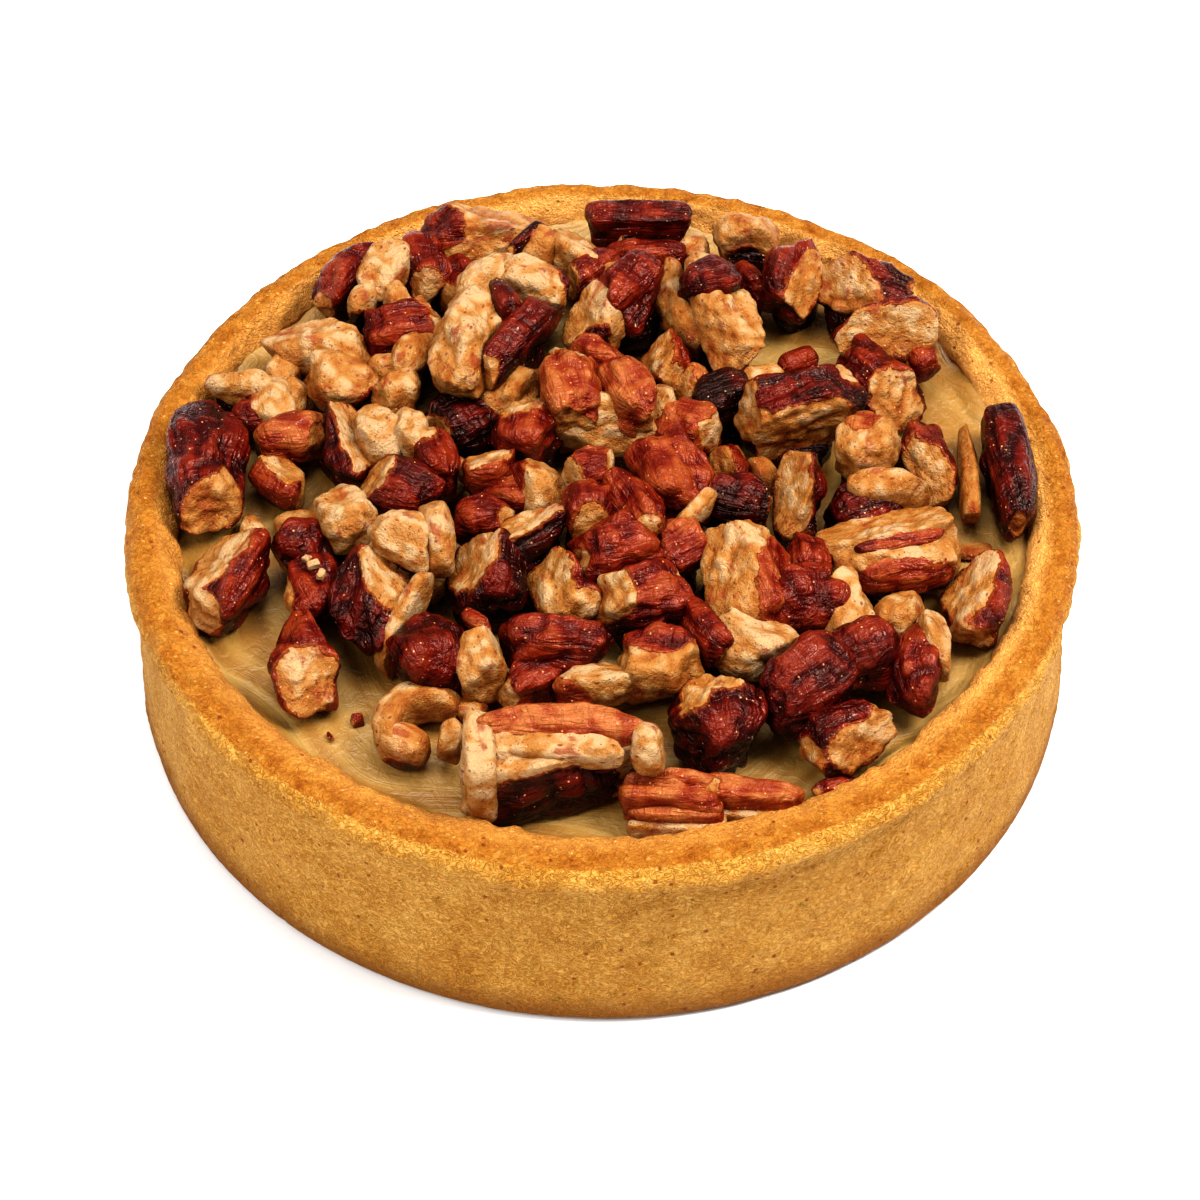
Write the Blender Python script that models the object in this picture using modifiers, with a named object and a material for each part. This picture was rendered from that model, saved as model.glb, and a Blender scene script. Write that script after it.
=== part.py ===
"""A small straight-sided pecan pie: a baked shortcrust shell, a cream filling and chopped pecans.

Every length below is in millimetres. The pie stands on z = 0 and is centred on the Z axis.
"""
import math
from collections import namedtuple

import bmesh
import bpy
import numpy as np
from mathutils import Matrix

MM = 0.001

# Crust: a shell with a straight side and a rounded rim that overhangs it a little.
PIE_HEIGHT = 23.7
CREST_RADIUS = 47.8
LIP_RADIUS = 50.0
LIP_HEIGHT = 21.5
LIP_UNDERCUT = 0.4
NECK_RADIUS = 48.9
NECK_HEIGHT = 18.6
NECK_BEND = 0.6
NECK_RISE = 1.6
BASE_RADIUS = 49.6
BASE_ROUND = 0.9
FLOOR_THICKNESS = 3.0
FLOOR_FILLET = 1.0
WALL_INSIDE_TOP = 45.5
WALL_INSIDE_BOTTOM = 44.6
WALL_INSIDE_HEIGHT = 20.6
# The rim rises and falls by RIM_WAVE, and the wave dies out down to this height.
RIM_WAVE = 0.35
RIM_WAVE_FOOT = 12.0
# The rim is narrower at the back: its opening lies this far off the centre.
OPENING_SHIFT = 1.3
CRUST_STEPS = 48

# Filling: its highest swirl lies at FILLING_TOP, and it keeps GAP to the crust all round.
GAP = 0.3
FILLING_TOP = 20.0
FILLING_SLACK = 0.15
FILLING_SHOULDER = 0.7
FILLING_CHAMFER = 1.2
SWIRL_DEPTH = 0.8
FILLING_RINGS = 7
FILLING_STEPS = 32

# Pecans rest on this level and keep clear of the rim.
NUT_FLOOR = FILLING_TOP + GAP

# The free space over the pie is this wide and this high.
SPACE_RADIUS = 75.0
SPACE_HEIGHT = 60.0

# Core of the heap, a low mound under the pecans.
CORE_AT = (-1.0, -2.0, NUT_FLOOR)
CORE_SIZE = (52.0, 58.0, 12.0)
CORE_SIDES = 16
CORE_RINGS = 8

# A fragment's lumps: how far they stand out and how close together they are.
LUMPS = ((0.07, 2.6), (0.05, 4.4))
# The furrow along a fragment is this wide, as a share of its half width.
FURROW_WIDTH = 0.24

# Sides round and rings along a fragment, for lengths under each of these.
FACETS = ((8.7, (6, 4)), (13.0, (7, 5)), (25.0, (8, 6)))

# One rounded fragment of a pecan. Its length runs along local X before it is turned.
# turn is yaw, pitch and roll in degrees. bend curls the length towards local +Y.
# taper narrows the +X end. groove is the depth of the furrow along the top.
# blunt is the power of the oval: 2 is an ellipsoid, and higher is squarer.
# Each cut is a fracture: the azimuth and elevation that it faces, and its depth from the middle.
Fragment = namedtuple("Fragment", "piece at size turn bend taper groove blunt cuts")


def nut(piece, at, size, yaw=0, pitch=0, roll=0, bend=0, taper=0.0, groove=0.0, blunt=2.6, cuts=()):
    """A row of the layout, with the plain values left out."""
    return Fragment(piece, at, size, (yaw, pitch, roll), bend, taper, groove, blunt, cuts)


LAYOUT = [
    # Back left, from the rim inwards.
    nut(1, (-27.7, 31.8, 24.5), (12.5, 4.4, 7), yaw=58),
    nut(2, (-23.8, 31.2, 27), (9.5, 4.8, 5), yaw=76, taper=-0.15, cuts=((270, 50, 0.7),)),
    nut(2, (-25.8, 27.4, 26.3), (5, 2.8, 4), yaw=62),
    nut(2, (-22.2, 27.6, 26.3), (4.8, 2.8, 4), yaw=112),
    nut(3, (-19.6, 32.7, 25.3), (8.5, 5.2, 6.5), yaw=106),
    nut(4, (-15.3, 31, 24), (8, 4.8, 6.5), yaw=104),
    nut(5, (-21, 23.8, 25.3), (9, 7.6, 7), yaw=12, groove=0.3),
    nut(6, (-13.6, 37.4, 26.2), (15, 7.4, 8.2), yaw=6, blunt=3, cuts=((275, 25, 0.6), (60, 60, 0.75))),
    nut(7, (-7.4, 35.4, 25.3), (7, 5.4, 7), yaw=48, cuts=((250, 40, 0.7),)),
    nut(7, (-8.2, 35.6, 27.6), (6.8, 1.4, 2.6), yaw=50),
    nut(8, (-0.8, 35.2, 25.3), (11.5, 6.4, 7), yaw=-42, cuts=((50, 50, 0.6),)),
    nut(9, (4.2, 41, 24), (11.8, 3.6, 7.4), yaw=-1, blunt=4, cuts=((270, 0, 0.75),)),
    nut(10, (5.2, 37, 23.4), (9.2, 3.8, 6), yaw=-2),
    nut(11, (-14.4, 20.4, 27.6), (19, 7, 7.5), yaw=70, bend=-60, cuts=((200, 55, 0.8),)),
    nut(11, (-7.4, 28, 27.6), (8.5, 5, 6.5), yaw=-16),
    nut(11, (-10.4, 23.6, 29.3), (7.8, 3.2, 4.6), yaw=102),
    nut(11, (-8.8, 19.2, 28.8), (14.5, 3.8, 5.4), yaw=56),
    nut(12, (-30.2, 21.6, 24.3), (13.4, 5.6, 6.5), yaw=-8, bend=-75, cuts=((120, 60, 0.75),)),
    nut(12, (-34, 19.2, 23.2), (6, 3.8, 5), yaw=70),
    nut(13, (-28.2, 15.8, 24.8), (8.2, 6, 6.5), yaw=-28),
    nut(14, (-20.4, 19.5, 25.4), (7.5, 3.8, 5), yaw=66),
    nut(14, (-22, 14.9, 24.4), (6.4, 5.2, 5.8), yaw=80),
    nut(14, (-23.1, 18, 24.6), (4.8, 3.2, 4.4), yaw=5),
    nut(15, (-38.5, 15.9, 24.4), (9.2, 3.4, 4.6), yaw=-6),
    nut(15, (-35.2, 13.9, 24), (7.8, 4.4, 5.6), yaw=-70),
    nut(15, (-37.2, 12.6, 23), (4.4, 3.2, 4), yaw=0),
    # Left.
    nut(17, (-41.6, 4.6, 24), (19.2, 7.8, 7.6), yaw=91, cuts=((300, 30, 0.7),)),
    nut(18, (-27, 6.8, 25.4), (12.8, 4.8, 6.6), yaw=104, cuts=((15, 45, 0.5),)),
    nut(19, (-23.5, 6.8, 26.3), (6.8, 5, 6.8), yaw=100),
    nut(19, (-20, 6.3, 26.3), (6.8, 4.4, 6.8), yaw=95),
    nut(19, (-17.8, 3.9, 25.8), (7.8, 4.4, 6.6), yaw=112),
    nut(20, (-32.9, 9.2, 23.6), (9, 5.6, 6.4), yaw=8),
    nut(21, (-33.8, 3.8, 22.9), (7, 4.6, 5.4), yaw=-38, cuts=((40, 60, 0.6),)),
    nut(22, (-21.6, -1.6, 26.8), (10.6, 6, 6.4), yaw=-24, cuts=((160, 40, 0.5),)),
    nut(23, (-26.4, -4.6, 25.8), (8.8, 6, 6.6), yaw=-58, cuts=((100, 60, 0.7),)),
    nut(24, (-23, -14, 25.4), (15, 8.4, 10), yaw=79, cuts=((15, 50, 0.55),)),
    nut(24, (-20.3, -10, 28.8), (8, 5.6, 4.6), yaw=-30),
    nut(24, (-16.9, -9, 28), (9.6, 3.6, 6.8), yaw=-80),
    nut(24, (-19.6, -16.2, 25.6), (12, 2.2, 5.6), yaw=242, pitch=-28),
    nut(25, (-38.5, -10.5, 23.9), (13.6, 8, 7.6), yaw=72, cuts=((150, 50, 0.5),)),
    nut(26, (-30.8, -7.4, 24), (6.6, 5.6, 7), yaw=20),
    nut(26, (-29.7, -12.6, 23.7), (7.4, 6, 6.6), yaw=110),
    nut(27, (-31.6, -0.9, 21.1), (5.8, 3.8, 2.2), yaw=20),
    nut(28, (-36.6, -1.7, 21.1), (4.8, 2.4, 2.2), yaw=112),
    nut(29, (-29.8, -22.7, 23.6), (12, 7.2, 7), yaw=109, cuts=((280, 45, 0.55),)),
    # Middle.
    nut(30, (-15, 11.9, 23), (9, 7.6, 6.6), yaw=30),
    nut(31, (-9.5, 14.5, 24), (8.4, 6.8, 7.4), yaw=60),
    nut(32, (-7.8, 8.2, 26.3), (8.6, 7.2, 7.4), yaw=80, cuts=((110, 55, 0.65),)),
    nut(33, (-3.4, 12.6, 27.3), (13, 5.8, 8), yaw=98, bend=-30),
    nut(33, (3.1, 12, 27.3), (10.8, 6, 8), yaw=114),
    nut(33, (-0.2, 16.9, 27), (7.4, 4.6, 6.4), yaw=-20),
    nut(33, (1, 9.4, 25.4), (12.4, 5.4, 6.8), yaw=3, cuts=((270, 30, 0.7),)),
    nut(34, (3.1, 27.4, 27.3), (10.2, 6.4, 7.4), yaw=62),
    nut(34, (-0.6, 24.4, 25.9), (9.6, 6.4, 6.8), yaw=68, cuts=((200, 50, 0.6),)),
    nut(35, (6.7, 18.2, 25.4), (8, 6.4, 6.8), yaw=105, cuts=((170, 45, 0.4),)),
    nut(36, (13, 24.2, 27.2), (18, 6.8, 8), yaw=102, cuts=((10, 60, 0.7),)),
    nut(36, (11.5, 28.4, 29), (7.6, 6.8, 5.4), yaw=10, groove=0.35, roll=90),
    nut(36, (9.4, 25.2, 25), (8.8, 4.8, 6.2), yaw=115),
    nut(37, (7.2, 30.4, 24.4), (9, 2.8, 5.6), yaw=82),
    # Back right.
    nut(38, (16, 37.8, 24.6), (7.4, 6, 8.6), cuts=((270, 10, 0.6),)),
    nut(39, (21.2, 31.6, 25.6), (11.2, 6, 6.8), yaw=74, groove=0.3, blunt=3.4, cuts=((330, 40, 0.65),)),
    nut(40, (16.3, 31.4, 24.4), (5.4, 3.2, 4.8), yaw=-60),
    nut(41, (28.5, 29, 25.9), (11.6, 7.2, 7.4), yaw=-25, cuts=((215, 40, 0.45),)),
    nut(42, (30.6, 22.3, 26.2), (13.8, 5.2, 7.6), yaw=15, blunt=3.6, cuts=((275, 30, 0.45),)),
    nut(42, (34.6, 20.6, 24), (5, 3.2, 4), yaw=30),
    nut(43, (29.6, 16.6, 24.3), (12.6, 7, 7), yaw=-52, cuts=((300, 40, 0.6),)),
    nut(44, (21.3, 21.1, 22.4), (4.8, 3, 3.8), yaw=30),
    nut(45, (12.7, 12.8, 26.8), (7, 5.6, 2.6), yaw=15, pitch=8),
    nut(45, (17.4, 15.5, 25.8), (6.2, 4.2, 3.4), yaw=10),
    nut(
        46, (20.9, 10.1, 27.2), (15.8, 8.8, 8.6), yaw=25, groove=0.3, blunt=3,
        cuts=((200, 20, 0.75), (285, -5, 0.6)),
    ),
    nut(47, (10, 15.7, 24.9), (5.8, 3.6, 5), yaw=65),
    nut(48, (9, 9, 25.4), (7.8, 6.2, 6.6), yaw=-20),
    nut(49, (7.5, 0, 27.2), (11.4, 7.8, 7.4), yaw=-68, groove=0.15, blunt=3),
    nut(50, (13.7, 5.1, 23.4), (5.2, 4.2, 5), yaw=80),
    nut(52, (14, -2.4, 25.4), (8.2, 5.2, 6.6), yaw=-20),
    nut(53, (9.5, -5.6, 27.8), (7.8, 2.2, 3.6), yaw=56),
    nut(54, (7.8, -9.2, 25.9), (5.8, 5.2, 6.2), yaw=30),
    nut(55, (-1, -0.2, 28.3), (6, 5.6, 6.4), yaw=20),
    nut(55, (-1.3, -5.4, 28.3), (6.8, 5.4, 6.8), yaw=95),
    nut(55, (3.6, -5.8, 28.3), (9.2, 5.2, 6.8), yaw=112),
    nut(55, (1.6, -10.3, 27.3), (9.8, 7, 7.4), yaw=12),
    nut(56, (4.3, -16, 26.3), (10.8, 6.8, 7.6), yaw=14, blunt=3, cuts=((200, 35, 0.75),)),
    nut(57, (-11.5, 2, 25.8), (5.6, 5.2, 6.6), yaw=0, cuts=((120, 60, 0.6),)),
    nut(57, (-6.6, -0.4, 25.8), (7.8, 5.4, 6.8), yaw=-62),
    nut(57, (-9, -1, 24.9), (7.4, 4.2, 5.6), yaw=-10),
    nut(58, (-14.8, 4.4, 23), (3.8, 2.2, 3.4), yaw=100),
    nut(59, (-11.6, -12.6, 26.3), (10.2, 8, 8), yaw=94, cuts=((170, 45, 0.5),)),
    nut(60, (-7.3, -8, 27.8), (9, 5.6, 5.4), yaw=34, pitch=8, cuts=((130, 60, 0.45),)),
    nut(61, (-12.3, -5.3, 26.3), (6.8, 4.6, 6), yaw=8),
    nut(62, (-4, -14.3, 25.4), (9.2, 6, 7), yaw=110, cuts=((190, 45, 0.5),)),
    # Right.
    nut(63, (20.3, -1.2, 26.3), (12, 5, 8.2), yaw=84, cuts=((185, 40, 0.4),)),
    nut(64, (14.4, -12.2, 26.8), (12.4, 8.8, 8.2), yaw=98, taper=0.2, cuts=((190, 50, 0.6),)),
    nut(65, (28, 4.5, 26.3), (9, 6.2, 7.4), yaw=80),
    nut(65, (30, -0.4, 25.8), (9.6, 3.6, 5.6), yaw=5),
    nut(65, (27.5, -1.6, 23.6), (9, 5.6, 6.6), yaw=20),
    nut(
        66, (30, -8, 25.4), (13.4, 8.4, 8.8), yaw=12, roll=30, groove=0.3, blunt=3.4,
        cuts=((110, 60, 0.55),),
    ),
    nut(67, (21, -15.2, 25.3), (8.2, 7.2, 7.8), yaw=100),
    nut(67, (24.8, -16, 24.8), (8.4, 5.8, 7.4), yaw=105),
    nut(68, (21.2, -9.6, 24.9), (5.8, 4.6, 6), yaw=100),
    nut(69, (34.2, 5.2, 23.7), (12.4, 5.2, 6.8), yaw=100, cuts=((240, 45, 0.4),)),
    nut(70, (38.7, 5, 22.5), (16.6, 2.2, 4.6), yaw=90),
    nut(71, (42.8, 4.2, 24), (16, 4.6, 7), yaw=96, blunt=3.2),
    nut(72, (30.4, -16.4, 23.7), (6.6, 5.2, 7), yaw=80, cuts=((90, 70, 0.7),)),
    nut(73, (31.8, -23, 23.9), (10.4, 5.4, 7.4), yaw=75),
    nut(73, (33.6, -20.7, 24.4), (9.4, 3.4, 7), yaw=97),
    nut(74, (38.4, -14.2, 23.7), (10.8, 6.8, 7), yaw=82, cuts=((165, 50, 0.45),)),
    # Front.
    nut(75, (-17, -22.4, 24.6), (8.8, 7.6, 8.6), yaw=-72, blunt=3),
    nut(75, (-12.2, -23.3, 24.6), (8.4, 5.6, 8.4), yaw=100),
    nut(76, (-4.4, -21.8, 26.3), (12, 5, 6.6), yaw=-4, bend=-25),
    nut(78, (-20.8, -31.2, 23.3), (8.4, 5, 6), yaw=-60),
    nut(78, (-17.4, -29.9, 23.3), (7.6, 3.8, 5.8), yaw=-30),
    nut(78, (-15, -32, 23), (4.4, 2.6, 5.2), yaw=80),
    nut(79, (-4.2, -37, 25), (18.2, 7.4, 9.2), yaw=4, blunt=4.5, cuts=((90, 75, 0.7), (290, 0, 0.55))),
    nut(79, (-4, -34.8, 28.9), (17, 3.8, 4.8), bend=-30),
    nut(79, (-3, -37.4, 28.6), (10.6, 4, 4.2), yaw=-3),
    nut(79, (-12, -37.4, 25.6), (8.6, 3.6, 9.4), yaw=92),
    nut(80, (-0.6, -25.8, 24.9), (8.6, 5, 6.4), yaw=8, cuts=((90, 60, 0.5),)),
    nut(81, (-7, -25, 23.5), (8.2, 4.8, 5.6), yaw=35),
    nut(82, (5.8, -23.8, 24.9), (8.8, 6.6, 8.2), yaw=-5, cuts=((270, 20, 0.65),)),
    nut(83, (10.4, -20.4, 25.9), (8.8, 3.4, 6), yaw=-58),
    nut(83, (15.2, -20.8, 24.9), (9.8, 7.6, 7.6), yaw=-35, cuts=((60, 60, 0.7),)),
    nut(84, (11.4, -30.9, 24.8), (10.2, 9.2, 8.8), yaw=97, groove=0.25, blunt=3.4, cuts=((125, 60, 0.8),)),
    nut(85, (22.4, -25.4, 25.6), (14, 7, 8.4), yaw=36),
    nut(86, (24.4, -32.2, 23.7), (11.2, 6.6, 7), yaw=28, groove=0.2, cuts=((315, 25, 0.55),)),
    nut(87, (10.9, -39.1, 22.9), (15.4, 4.4, 5.2), yaw=-3, groove=0.3, blunt=4.5),
]

# These pieces lie clear of the heap. Pieces in one bracket touch each other and are one solid.
APART = (
    (9,), (17,), (25,), (27,), (28,), (29,), (38,), (39, 40, 41, 42, 43), (44,),
    (69,), (70,), (71,), (72, 73), (74,), (78,), (79,), (86,), (87,),
)

# A body of the union with fewer corners than this is a scrap.
SCRAP_CORNERS = 12

CRUST_LOOK = ((0.62, 0.31, 0.08), 0.8)
FILLING_LOOK = ((0.62, 0.42, 0.17), 0.45)
PECAN_LOOK = ((0.24, 0.06, 0.03), 0.4)


def clear_scene():
    for thing in list(bpy.data.objects):
        bpy.data.objects.remove(thing, do_unlink=True)


def material(name, look):
    """A plain surface of one colour."""
    colour, roughness = look
    made = bpy.data.materials.new(name)
    made.use_nodes = True
    shader = made.node_tree.nodes["Principled BSDF"]
    shader.inputs["Base Color"].default_value = (*colour, 1.0)
    shader.inputs["Roughness"].default_value = roughness
    shader.inputs["Metallic"].default_value = 0.0
    return made


def add_object(name, mesh, collection):
    thing = bpy.data.objects.new(name, mesh)
    collection.objects.link(thing)
    return thing


def evaluated(thing):
    """The object's mesh with its modifiers applied."""
    graph = bpy.context.evaluated_depsgraph_get()
    return bpy.data.meshes.new_from_object(thing.evaluated_get(graph))


def apply_modifiers(thing):
    mesh = evaluated(thing)
    thing.modifiers.clear()
    thing.data = mesh


def turned(name, profile, collection, steps):
    """A profile of (radius, height) points, from the axis over the top and down, turned round Z."""
    mesh = bpy.data.meshes.new(name)
    points = [(radius * MM, 0.0, height * MM) for radius, height in profile]
    edges = [(i, i + 1) for i in range(len(points) - 1)]
    mesh.from_pydata(points, edges, [])
    thing = add_object(name, mesh, collection)
    screw = thing.modifiers.new("Screw", "SCREW")
    screw.steps = steps
    screw.render_steps = steps
    screw.use_merge_vertices = True
    screw.merge_threshold = 0.00005
    apply_modifiers(thing)
    return thing


def arc(middle, radii, start, end, count):
    """Points on a stretch of an ellipse, angles in degrees."""
    angles = np.radians(np.linspace(start, end, count))
    return [(middle[0] + radii[0] * math.cos(a), middle[1] + radii[1] * math.sin(a)) for a in angles]


def smooth_step(low, high, value):
    share = np.clip((value - low) / (high - low), 0.0, 1.0)
    return share * share * (3.0 - 2.0 * share)


def rim_profile(clearance=0.0):
    """The rim from the inside of the wall over the crest to the lip, moved out by a clearance."""
    inside = CREST_RADIUS - WALL_INSIDE_TOP
    rise = PIE_HEIGHT - WALL_INSIDE_HEIGHT
    outside = LIP_RADIUS - CREST_RADIUS
    drop = PIE_HEIGHT - LIP_HEIGHT
    grown_in = (inside + clearance, rise + clearance)
    grown_out = (outside + clearance, drop + clearance)
    inner = arc((CREST_RADIUS, WALL_INSIDE_HEIGHT), grown_in, 180, 90, 5)
    outer = arc((CREST_RADIUS, LIP_HEIGHT), grown_out, 90, 0, 4)
    return inner + outer[1:]


def rim_wave(angle):
    """Uneven height of the rim, between about -1 and 1, strongest at the back."""
    back = 0.6 + 0.4 * np.sin(angle)
    wave = np.sin(3 * angle + 0.7) + 0.7 * np.sin(7 * angle + 2.1) + 0.6 * np.sin(16 * angle)
    return back * wave / 2.3


def make_crust(collection):
    floor_inside = [(0.0, FLOOR_THICKNESS), (WALL_INSIDE_BOTTOM - FLOOR_FILLET, FLOOR_THICKNESS)]
    wall_inside = [(WALL_INSIDE_BOTTOM, FLOOR_THICKNESS + FLOOR_FILLET)]
    throat = LIP_RADIUS - LIP_UNDERCUT
    bend = NECK_HEIGHT + NECK_BEND
    neck = arc((throat, bend), (NECK_RADIUS - throat, NECK_RISE), 90, 0, 3)
    foot = arc((BASE_RADIUS - BASE_ROUND, BASE_ROUND), (BASE_ROUND, BASE_ROUND), 0, -90, 3)
    profile = floor_inside + wall_inside + rim_profile() + neck[1:] + foot + [(0.0, 0.0)]
    crust = turned("crust", profile, collection, CRUST_STEPS)
    count = len(crust.data.vertices)
    points = np.empty(count * 3)
    crust.data.vertices.foreach_get("co", points)
    points = points.reshape(-1, 3)
    radius = np.hypot(points[:, 0], points[:, 1])
    angle = np.arctan2(points[:, 1], points[:, 0])
    height = smooth_step(RIM_WAVE_FOOT * MM, PIE_HEIGHT * MM, points[:, 2])
    inside = smooth_step(CREST_RADIUS * MM, (WALL_INSIDE_TOP + GAP) * MM, radius)
    inside = inside * smooth_step(FLOOR_FILLET * MM, FLOOR_THICKNESS * MM, points[:, 2])
    points[:, 2] += RIM_WAVE * MM * rim_wave(angle) * height
    points[:, 1] += OPENING_SHIFT * MM * inside
    crust.data.vertices.foreach_set("co", points.ravel())
    crust.data.materials.append(material("baked shortcrust", CRUST_LOOK))
    crust.data.shade_smooth()


def swirl(x, y):
    """Soft strokes of a palette knife in the cream, between 0 and 1."""
    radius = np.hypot(x, y)
    angle = np.arctan2(y, x)
    strokes = 0.5 + 0.5 * np.sin(radius * 0.42 + 2.0 * angle + 0.8 * np.sin(3 * angle))
    return strokes * (0.6 + 0.4 * np.cos(angle * 2 + 1.0))


def make_filling(collection):
    edge = WALL_INSIDE_TOP - GAP - FILLING_SLACK
    foot = WALL_INSIDE_BOTTOM - GAP - FILLING_CHAMFER
    floor = FLOOR_THICKNESS + GAP
    top_edge = edge - FILLING_CHAMFER
    rings = [(radius, FILLING_TOP) for radius in np.linspace(0.0, top_edge, FILLING_RINGS)]
    side = [(edge, FILLING_TOP - FILLING_SHOULDER), (foot, floor + FILLING_CHAMFER)]
    under = [(foot - FILLING_CHAMFER, floor), (0.0, floor)]
    profile = rings + side + under
    filling = turned("filling", profile, collection, FILLING_STEPS)
    points = np.empty(len(filling.data.vertices) * 3)
    filling.data.vertices.foreach_get("co", points)
    points = points.reshape(-1, 3)
    top = points[:, 2] > (FILLING_TOP - FILLING_SHOULDER / 2) * MM
    points[top, 2] -= SWIRL_DEPTH * MM * swirl(points[top, 0] / MM, points[top, 1] / MM)
    points[:, 1] += OPENING_SHIFT * MM
    filling.data.vertices.foreach_set("co", points.ravel())
    filling.data.materials.append(material("pecan cream", FILLING_LOOK))
    filling.data.shade_smooth()


def turn_matrix(turn):
    """Rotation of a fragment from its yaw, pitch and roll in degrees."""
    yaw, pitch, roll = np.radians(turn)
    about_z = Matrix.Rotation(yaw, 3, "Z")
    about_y = Matrix.Rotation(-pitch, 3, "Y")
    about_x = Matrix.Rotation(roll, 3, "X")
    return np.array(about_z @ about_y @ about_x)


def fragment_points(rays, part, seed):
    """Where the surface of a fragment lies along each unit ray, in millimetres."""
    draw = np.random.default_rng(seed)
    half = np.array(part.size) / 2
    points = rays / (np.abs(rays) ** part.blunt).sum(1, keepdims=True) ** (1 / part.blunt)
    lump = np.zeros(len(rays))
    for strength, closeness in LUMPS:
        heading = draw.normal(size=3)
        heading /= np.linalg.norm(heading)
        lump += strength * np.sin(closeness * rays @ heading + draw.uniform(0, math.tau))
    points = points * (1 + lump[:, None])
    furrow = np.exp(-(points[:, 1] / FURROW_WIDTH) ** 2) * smooth_step(-0.2, 0.5, points[:, 2])
    points[:, 2] *= 1 - part.groove * furrow
    points = points * half
    points[:, 1:] *= 1 - part.taper * points[:, :1] / half[0]
    if part.bend:
        radius = part.size[0] / math.radians(part.bend)
        angle = points[:, 0] / radius
        inward = radius - points[:, 1]
        points[:, 0] = inward * np.sin(angle)
        points[:, 1] = radius - inward * np.cos(angle)
    return points @ turn_matrix(part.turn).T + np.array(part.at)


def fracture(shape, part):
    """Slice the fragment flat along each of its cuts."""
    spin = turn_matrix(part.turn)
    half = np.array(part.size) / 2
    for azimuth, elevation, depth in part.cuts:
        az, el = math.radians(azimuth), math.radians(elevation)
        facing = np.array([math.cos(el) * math.cos(az), math.cos(el) * math.sin(az), math.sin(el)])
        reach = depth * np.linalg.norm(half * (spin.T @ facing))
        point = (np.array(part.at) + facing * reach) * MM
        geometry = shape.verts[:] + shape.edges[:] + shape.faces[:]
        sliced = bmesh.ops.bisect_plane(
            shape, geom=geometry, plane_co=point, plane_no=facing, clear_outer=True
        )
        rim = [item for item in sliced["geom_cut"] if isinstance(item, bmesh.types.BMEdge)]
        if rim:
            bmesh.ops.holes_fill(shape, edges=rim)
    bmesh.ops.recalc_face_normals(shape, faces=shape.faces[:])
    if shape.calc_volume(signed=True) < 0:
        bmesh.ops.reverse_faces(shape, faces=shape.faces[:])


def long_ball(sides, rings):
    """A faceted ball with its poles on local X, where a fragment is longest."""
    shape = bmesh.new()
    upright_to_long = Matrix.Rotation(math.pi / 2, 3, "Y")
    bmesh.ops.create_uvsphere(shape, u_segments=sides, v_segments=rings, radius=1.0)
    bmesh.ops.rotate(shape, verts=shape.verts[:], cent=(0, 0, 0), matrix=upright_to_long)
    return shape


def make_fragment(part, index, collection):
    """A closed faceted body for one fragment."""
    sides, rings = next(facets for reach, facets in FACETS if max(part.size) < reach)
    shape = long_ball(sides, rings)
    rays = np.array([vert.co for vert in shape.verts])
    points = fragment_points(rays, part, index)
    for vert, point in zip(shape.verts, points):
        vert.co = point * MM
    fracture(shape, part)
    bmesh.ops.triangulate(shape, faces=shape.faces[:])
    mesh = bpy.data.meshes.new("fragment")
    shape.to_mesh(mesh)
    shape.free()
    return add_object(f"fragment_{index:03d}", mesh, collection)


def make_core(collection):
    """The mound that the pecans of the heap share."""
    shape = bmesh.new()
    bmesh.ops.create_uvsphere(shape, u_segments=CORE_SIDES, v_segments=CORE_RINGS, radius=MM / 2)
    for vert in shape.verts:
        vert.co = [size * axis + middle * MM for size, axis, middle in zip(CORE_SIZE, vert.co, CORE_AT)]
    mesh = bpy.data.meshes.new("core")
    shape.to_mesh(mesh)
    shape.free()
    return add_object("core", mesh, collection)


def make_free_space(collection):
    """The room over the filling and inside the rim that a pecan can take."""
    low = NUT_FLOOR
    clearance = GAP + RIM_WAVE
    rim = rim_profile(clearance)
    profile = [(0.0, SPACE_HEIGHT), (SPACE_RADIUS, SPACE_HEIGHT), (SPACE_RADIUS, LIP_HEIGHT)] + rim[::-1]
    profile += [(WALL_INSIDE_TOP - clearance, low), (0.0, low)]
    space = turned("free_space", profile, collection, FILLING_STEPS)
    space.location.y = OPENING_SHIFT * MM
    space.display_type = "WIRE"
    space.hide_render = True
    return space


def bodies(shape):
    """The separate bodies of a mesh, each as a set of vertices, smallest first."""
    left = set(shape.verts)
    found = []
    while left:
        stack = [left.pop()]
        body = set(stack)
        while stack:
            vert = stack.pop()
            near = {edge.other_vert(vert) for edge in vert.link_edges} - body
            body |= near
            left -= near
            stack.extend(near)
        found.append(body)
    return sorted(found, key=len)


def drop_scraps(thing):
    """Keep the one body of the mesh without the scraps that the union left beside it."""
    shape = bmesh.new()
    shape.from_mesh(thing.data)
    scraps = bodies(shape)[:-1]
    for scrap in scraps:
        if len(scrap) >= SCRAP_CORNERS:
            raise ValueError(f"{thing.name} has fallen into several bodies")
        bmesh.ops.delete(shape, geom=list(scrap), context="VERTS")
    bmesh.ops.triangulate(shape, faces=shape.faces[:])
    shape.to_mesh(thing.data)
    shape.free()


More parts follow.
